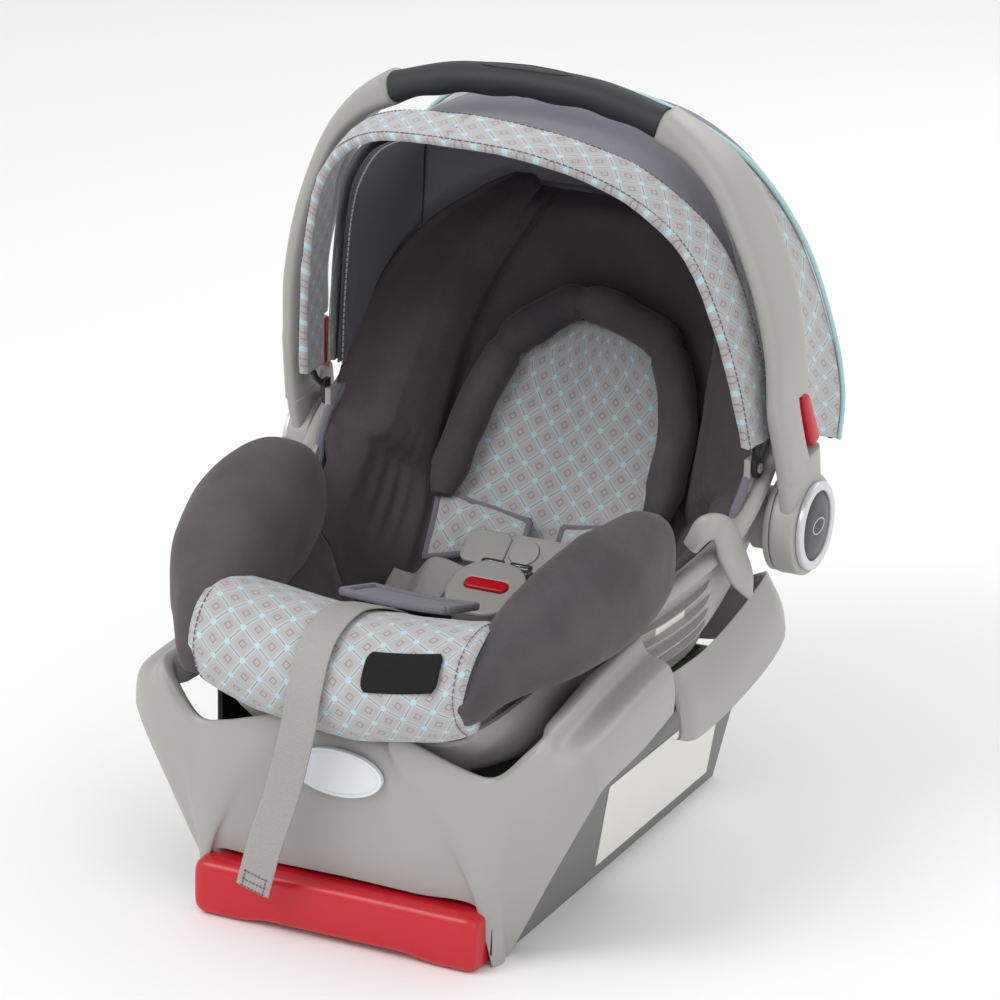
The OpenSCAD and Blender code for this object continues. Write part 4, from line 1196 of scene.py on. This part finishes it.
# %% Flap over the adjuster
flap_top = np.array([[(43.2 * j / 18, -129 + 51 * i / 18, 239.6 - 13.2 * i / 18 + 0.05 * (6 * j / 18) ** 2)
                      for j in range(-18, 19)] for i in range(19)]) * MM
flap_low = flap_top - np.array([0, 0, 0.0032])
flap_top[:, :, 2] += np.array([[0.0016 * puff(i / 18, (j + 18) / 36) for j in range(-18, 19)] for i in range(19)])
flap = grid_solid("adjuster_flap_cover", flap_top, flap_low, mauve)
ride(flap, "carrier", "print_fabric", "adjuster_flap")
flap_edges = [binding("edge", line, (0, 0.2, 1), 0.0032, 0.003, 40)
              for line in (flap_top[:, 0], flap_top[:, -1], flap_top[0], flap_top[-1])]
ride(join("adjuster_flap_bindings", flap_edges), "carrier", "canopy_fabric")

# %% [markdown]
# ## Handle
# The carrying handle is one moulded hoop: wide flat arms that turn in at the top and narrow into a
# bar. Its section is a rounded box whose front, rear and side sizes change along one line.

# %% Handle hoop and grip
ARM = [(213, 143, 268), (213, 138, 290), (213, 133, 306), (213, 133, 307), (208, 117, 362), (208, 117, 363),
       (205, 113, 410), (191, 108, 468), (166, 100, 525), (140, 91, 556), (113, 85.2, 572.7), (112, 85, 573),
       (60, 82, 587), (0, 81, 591)]
ARM_FRONT = np.c_[[30, 32, 32, 32, 31, 31, 30, 31, 29, 22, 16.5, 13, 13, 13]]
ARM_REAR = np.c_[[30, 32, 32, 12, 12, 31, 30, 33, 30, 22, 16.5, 13, 13, 13]]
ARM_SIDE = np.c_[[8, 8, 8, 8, 8, 8, 8.5, 8.5, 9, 11, 13.5, 10, 10, 10]]


def arm_ring(t, grow=0.0, wave=0.0):
    """Section of the handle at t; wave makes finger ridges under the grip."""
    c = curve(ARM, t)
    e = np.array([-1.0, 0, 0]) if t > 12.9 else unit(curve(ARM, min(t + 0.5, 13)) - curve(ARM, max(t - 0.5, 0)))
    a = unit(np.array([0, 1.0, 0]) - e * e[1])
    f, r, s = (float(curve(q, t)[0]) for q in (ARM_FRONT, ARM_REAR, ARM_SIDE))
    points = ring(c + a * (r - f) / 2, a, (f + r) / 2 + grow, np.cross(e, a), s + grow, 44,
                  0.62 if t < 10.5 else 0.9)
    if wave:
        low = points[:, 2] < c[2]
        points[low, 2] += wave * math.cos(t * 2 * math.pi * 1.4) * (c[2] - points[low, 2]) / (s + grow)
    return points * MM


def hoop(steps, grow=0.0, wave=0.0):
    """Rings along the left arm to the middle, then their mirror images down the right arm."""
    left = [arm_ring(t, grow, wave) for t in steps]
    return np.array(left + [q * np.array([-1, 1, 1]) for q in left[-2::-1]])


knots = [0, 1, 2, 3, 3.5, 4, 5, 5.5, 6, 6.5, 7, 7.5, 8, 8.5, 9, 9.5, 10, 11, 11.5, 12, 12.5, 13]
steps = []
for a, b in zip(knots, knots[1:]):
    steps += [mix(a, b, k / 4) for k in range(4)] if (a, b) not in ((2, 3), (4, 5), (10, 11)) else [a]
handle = tube_solid("handle_hoop", hoop(steps + [13]), light_plastic, 32)
ride(handle, "handle", "light_plastic", "handle_frame")
grip_steps = list(np.linspace(11, 13, 33))
grip = tube_solid("handle_soft_grip", hoop(grip_steps, 2.0, 0.9), grip_rubber, 45, hoop(grip_steps, 0.3))
ride(grip, "handle", "soft_grip", "handle_grip")
oval_line = [np.array([38.6 * math.cos(g), 80 + 7 * math.sin(g), 0]) for g in np.linspace(0, 2 * math.pi, 41)]
emblem = tube_solid("oval", sweep(oval_line, (0, 0, 1), 0.4, 0.4, 80, 8) * MM, grip_rubber)
for v in emblem.data.vertices:
    top = float(curve(ARM, 13 - 2 * abs(v.co.x) / MM / 112)[2]) + 12.0
    v.co.z += (top - 2.6 * ((v.co.y / MM - 80.5) / 15) ** 2) * MM
ride(emblem, "handle", "soft_grip")

# %% Hubs, trim and caps
softened("handle_hubs", "handle_hub_pair", light_plastic, 0.003, 4)
softened("hub_rings", "hub_ring_pair", hub_silver, 0.0016, 4)
softened("hub_caps", "hub_cap_pair", cap_dark, 0.0004, 2)
softened("hub_mounts", "hub_mount_pair", light_plastic, 0.0008)
ovals = []
for s in (1, -1):
    line = [np.array([s * 226.8, 146 + 11 * math.cos(g), 254 + 6 * math.sin(g)]) * MM
            for g in np.linspace(0, 2 * math.pi, 33)]
    ovals.append(tube_solid("oval", sweep(line, (1, 0, 0), 0.0004, 0.0005, 64, 8), hub_silver))
ride(join("hub_cap_ovals", ovals), "handle", "hub_trim")

# %% Lock buttons in the arms
for side, label in ((1, "left"), (-1, "right")):
    rings = []
    d = unit(curve(ARM, 4) - curve(ARM, 3))
    for i in range(25):
        t = mix(3.1, 3.9, i / 24)
        k = (3.9 - t) / 0.8
        a = unit(np.array([0, 1.0, 0]) - d * (d[1] * k))
        end = 1 - 0.12 * max(dent(i, 0, 1.2), dent(i, 24, 1.2))
        ridge = 0.5 * (math.sin(i * math.pi / 2.0) > 0.5) if 5 < i < 20 else 0
        rings.append(ring(curve(ARM, t) + a * (24.5 + 3 * k), a, (6 + 3 * k + ridge) * end, (1, 0, 0), 6.5 * end,
                          28, 0.6))
    button = tube_solid("handle_button_" + label + "_wedge", np.array(rings) * MM * np.array([side, 1, 1]),
                        red_plastic, 50)
    ride(button, "handle_lock_" + label, "red_plastic", "handle_button_" + label)

# %% [markdown]
# ## Canopy
# The hood is one sheet stretched over two bows. It is drawn as smooth arcs from ear to ear, with a
# surface run through them, so it curves both ways as real cloth over a bow does. The padded front
# band is its own piece, because it tips back with its bow.

# %% Hood arcs
ARC_FRONT = [(0, -58, 575), (58, -46, 569), (106, -12, 546), (140, 18, 514), (160, 38, 478), (174, 54, 430),
             (184, 68, 380), (190, 80, 330)]
ARC_BAND = [(0, -14, 585), (62, -4, 577), (114, 30, 552), (148, 60, 516), (168, 82, 478), (181, 98, 430),
            (190, 108, 380), (193, 114, 330)]
ARC_TUCK = [(0, -16, 573), (60, -6, 565), (109, 28, 542), (142, 58, 507), (161, 82, 471), (174, 98, 428),
            (182, 108, 380), (186, 114, 332)]
ARC_MID = [(0, 80, 564), (62, 82, 558), (112, 96, 540), (146, 116, 505), (168, 134, 466), (180, 148, 420),
           (187, 154, 370), (189, 154, 322)]
ARC_PIPE = [(0, 160, 574), (60, 163, 567), (108, 172, 547), (144, 195, 512), (168, 236, 448), (184, 262, 374),
            (188, 278, 320), (184, 285, 278)]
ARC_DOME = [(0, 272, 540), (60, 268, 532), (106, 268, 506), (140, 270, 466), (162, 280, 410), (176, 290, 350),
            (182, 294, 312), (184, 290, 284)]
ARC_HEAD = [(0, 336, 475), (60, 332, 466), (108, 322, 440), (140, 310, 404), (160, 302, 362), (172, 298, 325),
            (178, 296, 300), (180, 290, 281)]
ARC_HEM = [(0, 346, 405), (60, 343, 396), (108, 334, 374), (140, 322, 350), (160, 310, 325), (172, 302, 302),
           (178, 297, 288), (180, 292, 276)]


def inward(p, h):
    """Moves a point of the hood towards its middle by h mm."""
    return p + h * unit(np.array([-p[0], 120 - p[1], 330 - p[2]]))


def hood(arcs, k0, k1, n, m, h):
    """Grid over the hood; h is a depth in mm or a function of the places along and across it."""
    rows = []
    for i in range(n + 1):
        row = []
        for j in range(-m, m + 1):
            p = curve([curve(q, 7 * abs(j) / m) for q in arcs], mix(k0, k1, i / n))
            p = p * np.array([np.sign(j), 1, 1])
            row.append(inward(p, h(i / n, j / m) if callable(h) else h))
        rows.append(row)
    return np.array(rows) * MM


# %% Padded front band
def band_rise(s, t):
    """Depth of the band's outer face: padded out, and drawn in at its two hems and its middle seam."""
    hems = dent(s, 0, 0.06) + dent(s, 1, 0.06)
    return -4 - 0.8 * puff(s, (t + 1) / 2, 0.5) + 2.6 * dent(t, 0, 0.006) + 1.6 * hems


band = grid_solid("canopy_front_band", hood([ARC_FRONT, ARC_BAND], 0, 1, 20, 96, band_rise),
                  hood([ARC_FRONT, ARC_BAND], 0, 1, 20, 96, 3.8), lattice_cotton)
crumple(band, 0.0009, 34, 8)
ride(band, "canopy", "print_fabric", "canopy_band")
stitches("canopy_band_stitches",
         [hood([ARC_FRONT, ARC_BAND], k, k, 1, 80, -4.4)[0] for k in (0.09, 0.91)], slate_thread, "canopy",
         "print_fabric")
dress("canopy_bow", black_plastic)
dress("canopy_rear_bow", black_plastic)
softened("bow_ends", "bow_end_pair", black_plastic, 0.0005)


# %% Hood sheets
def side_folds(s, t):
    """Shallow gathers that grow towards the ears, where the cloth is bunched to the pivot."""
    ear = smooth((abs(t) - 0.55) / 0.45)
    return 1.6 * ear * math.sin(s * 21 + 3 * abs(t)) + 1.0 * (1 - ear) * math.sin(math.pi * s) ** 2


def add_sheet(name, arcs, k0, k1, n, m, depth, material, slot_name, node):
    """A sheet of cloth 1.2 mm thick over some of the arcs."""
    front = hood(arcs, k0, k1, n, m, lambda s, t: depth + side_folds(s, t))
    behind = hood(arcs, k0, k1, n, m, lambda s, t: depth + side_folds(s, t) + 1.2)
    sheet_obj = grid_solid(name, front, behind, material)
    ride(sheet_obj, "carrier", slot_name, node)


add_sheet("canopy_printed_panel", [ARC_TUCK, ARC_MID, ARC_PIPE], 0, 1.98, 44, 80, 0, lattice_hood,
          "print_fabric", "canopy_panel")
add_sheet("canopy_rear_panel_sheet", [ARC_PIPE, ARC_DOME, ARC_HEAD, ARC_HEM], 0.02, 3, 50, 80, 0, mauve,
          "canopy_fabric", "canopy_rear_panel")
add_sheet("canopy_lining_sheet", [ARC_TUCK, ARC_MID, ARC_PIPE], 0.1, 1.95, 40, 72, 8.4, charcoal, "lining",
          "canopy_lining")


# %% Piping
def along(arc, h, n=56):
    """One arc from ear to ear, h mm inside the hood."""
    return [inward(curve(arc, 7 * abs(j) / n) * np.array([np.sign(j), 1, 1]), h) * MM for j in range(-n, n + 1)]


piping = tube_solid("canopy_piping_cord", sweep(along(ARC_PIPE, -2.6), (0, 1, 0.1), 0.0022, 0.0022, 260, 12), aqua)
ride(piping, "carrier", "piping", "canopy_piping")
stitches("canopy_lining_stitches",
         [hood([ARC_TUCK, ARC_MID, ARC_PIPE], k, k, 1, 70, 10.4)[0] for k in (0.32, 0.36)],
         white_thread, "carrier", "lining")
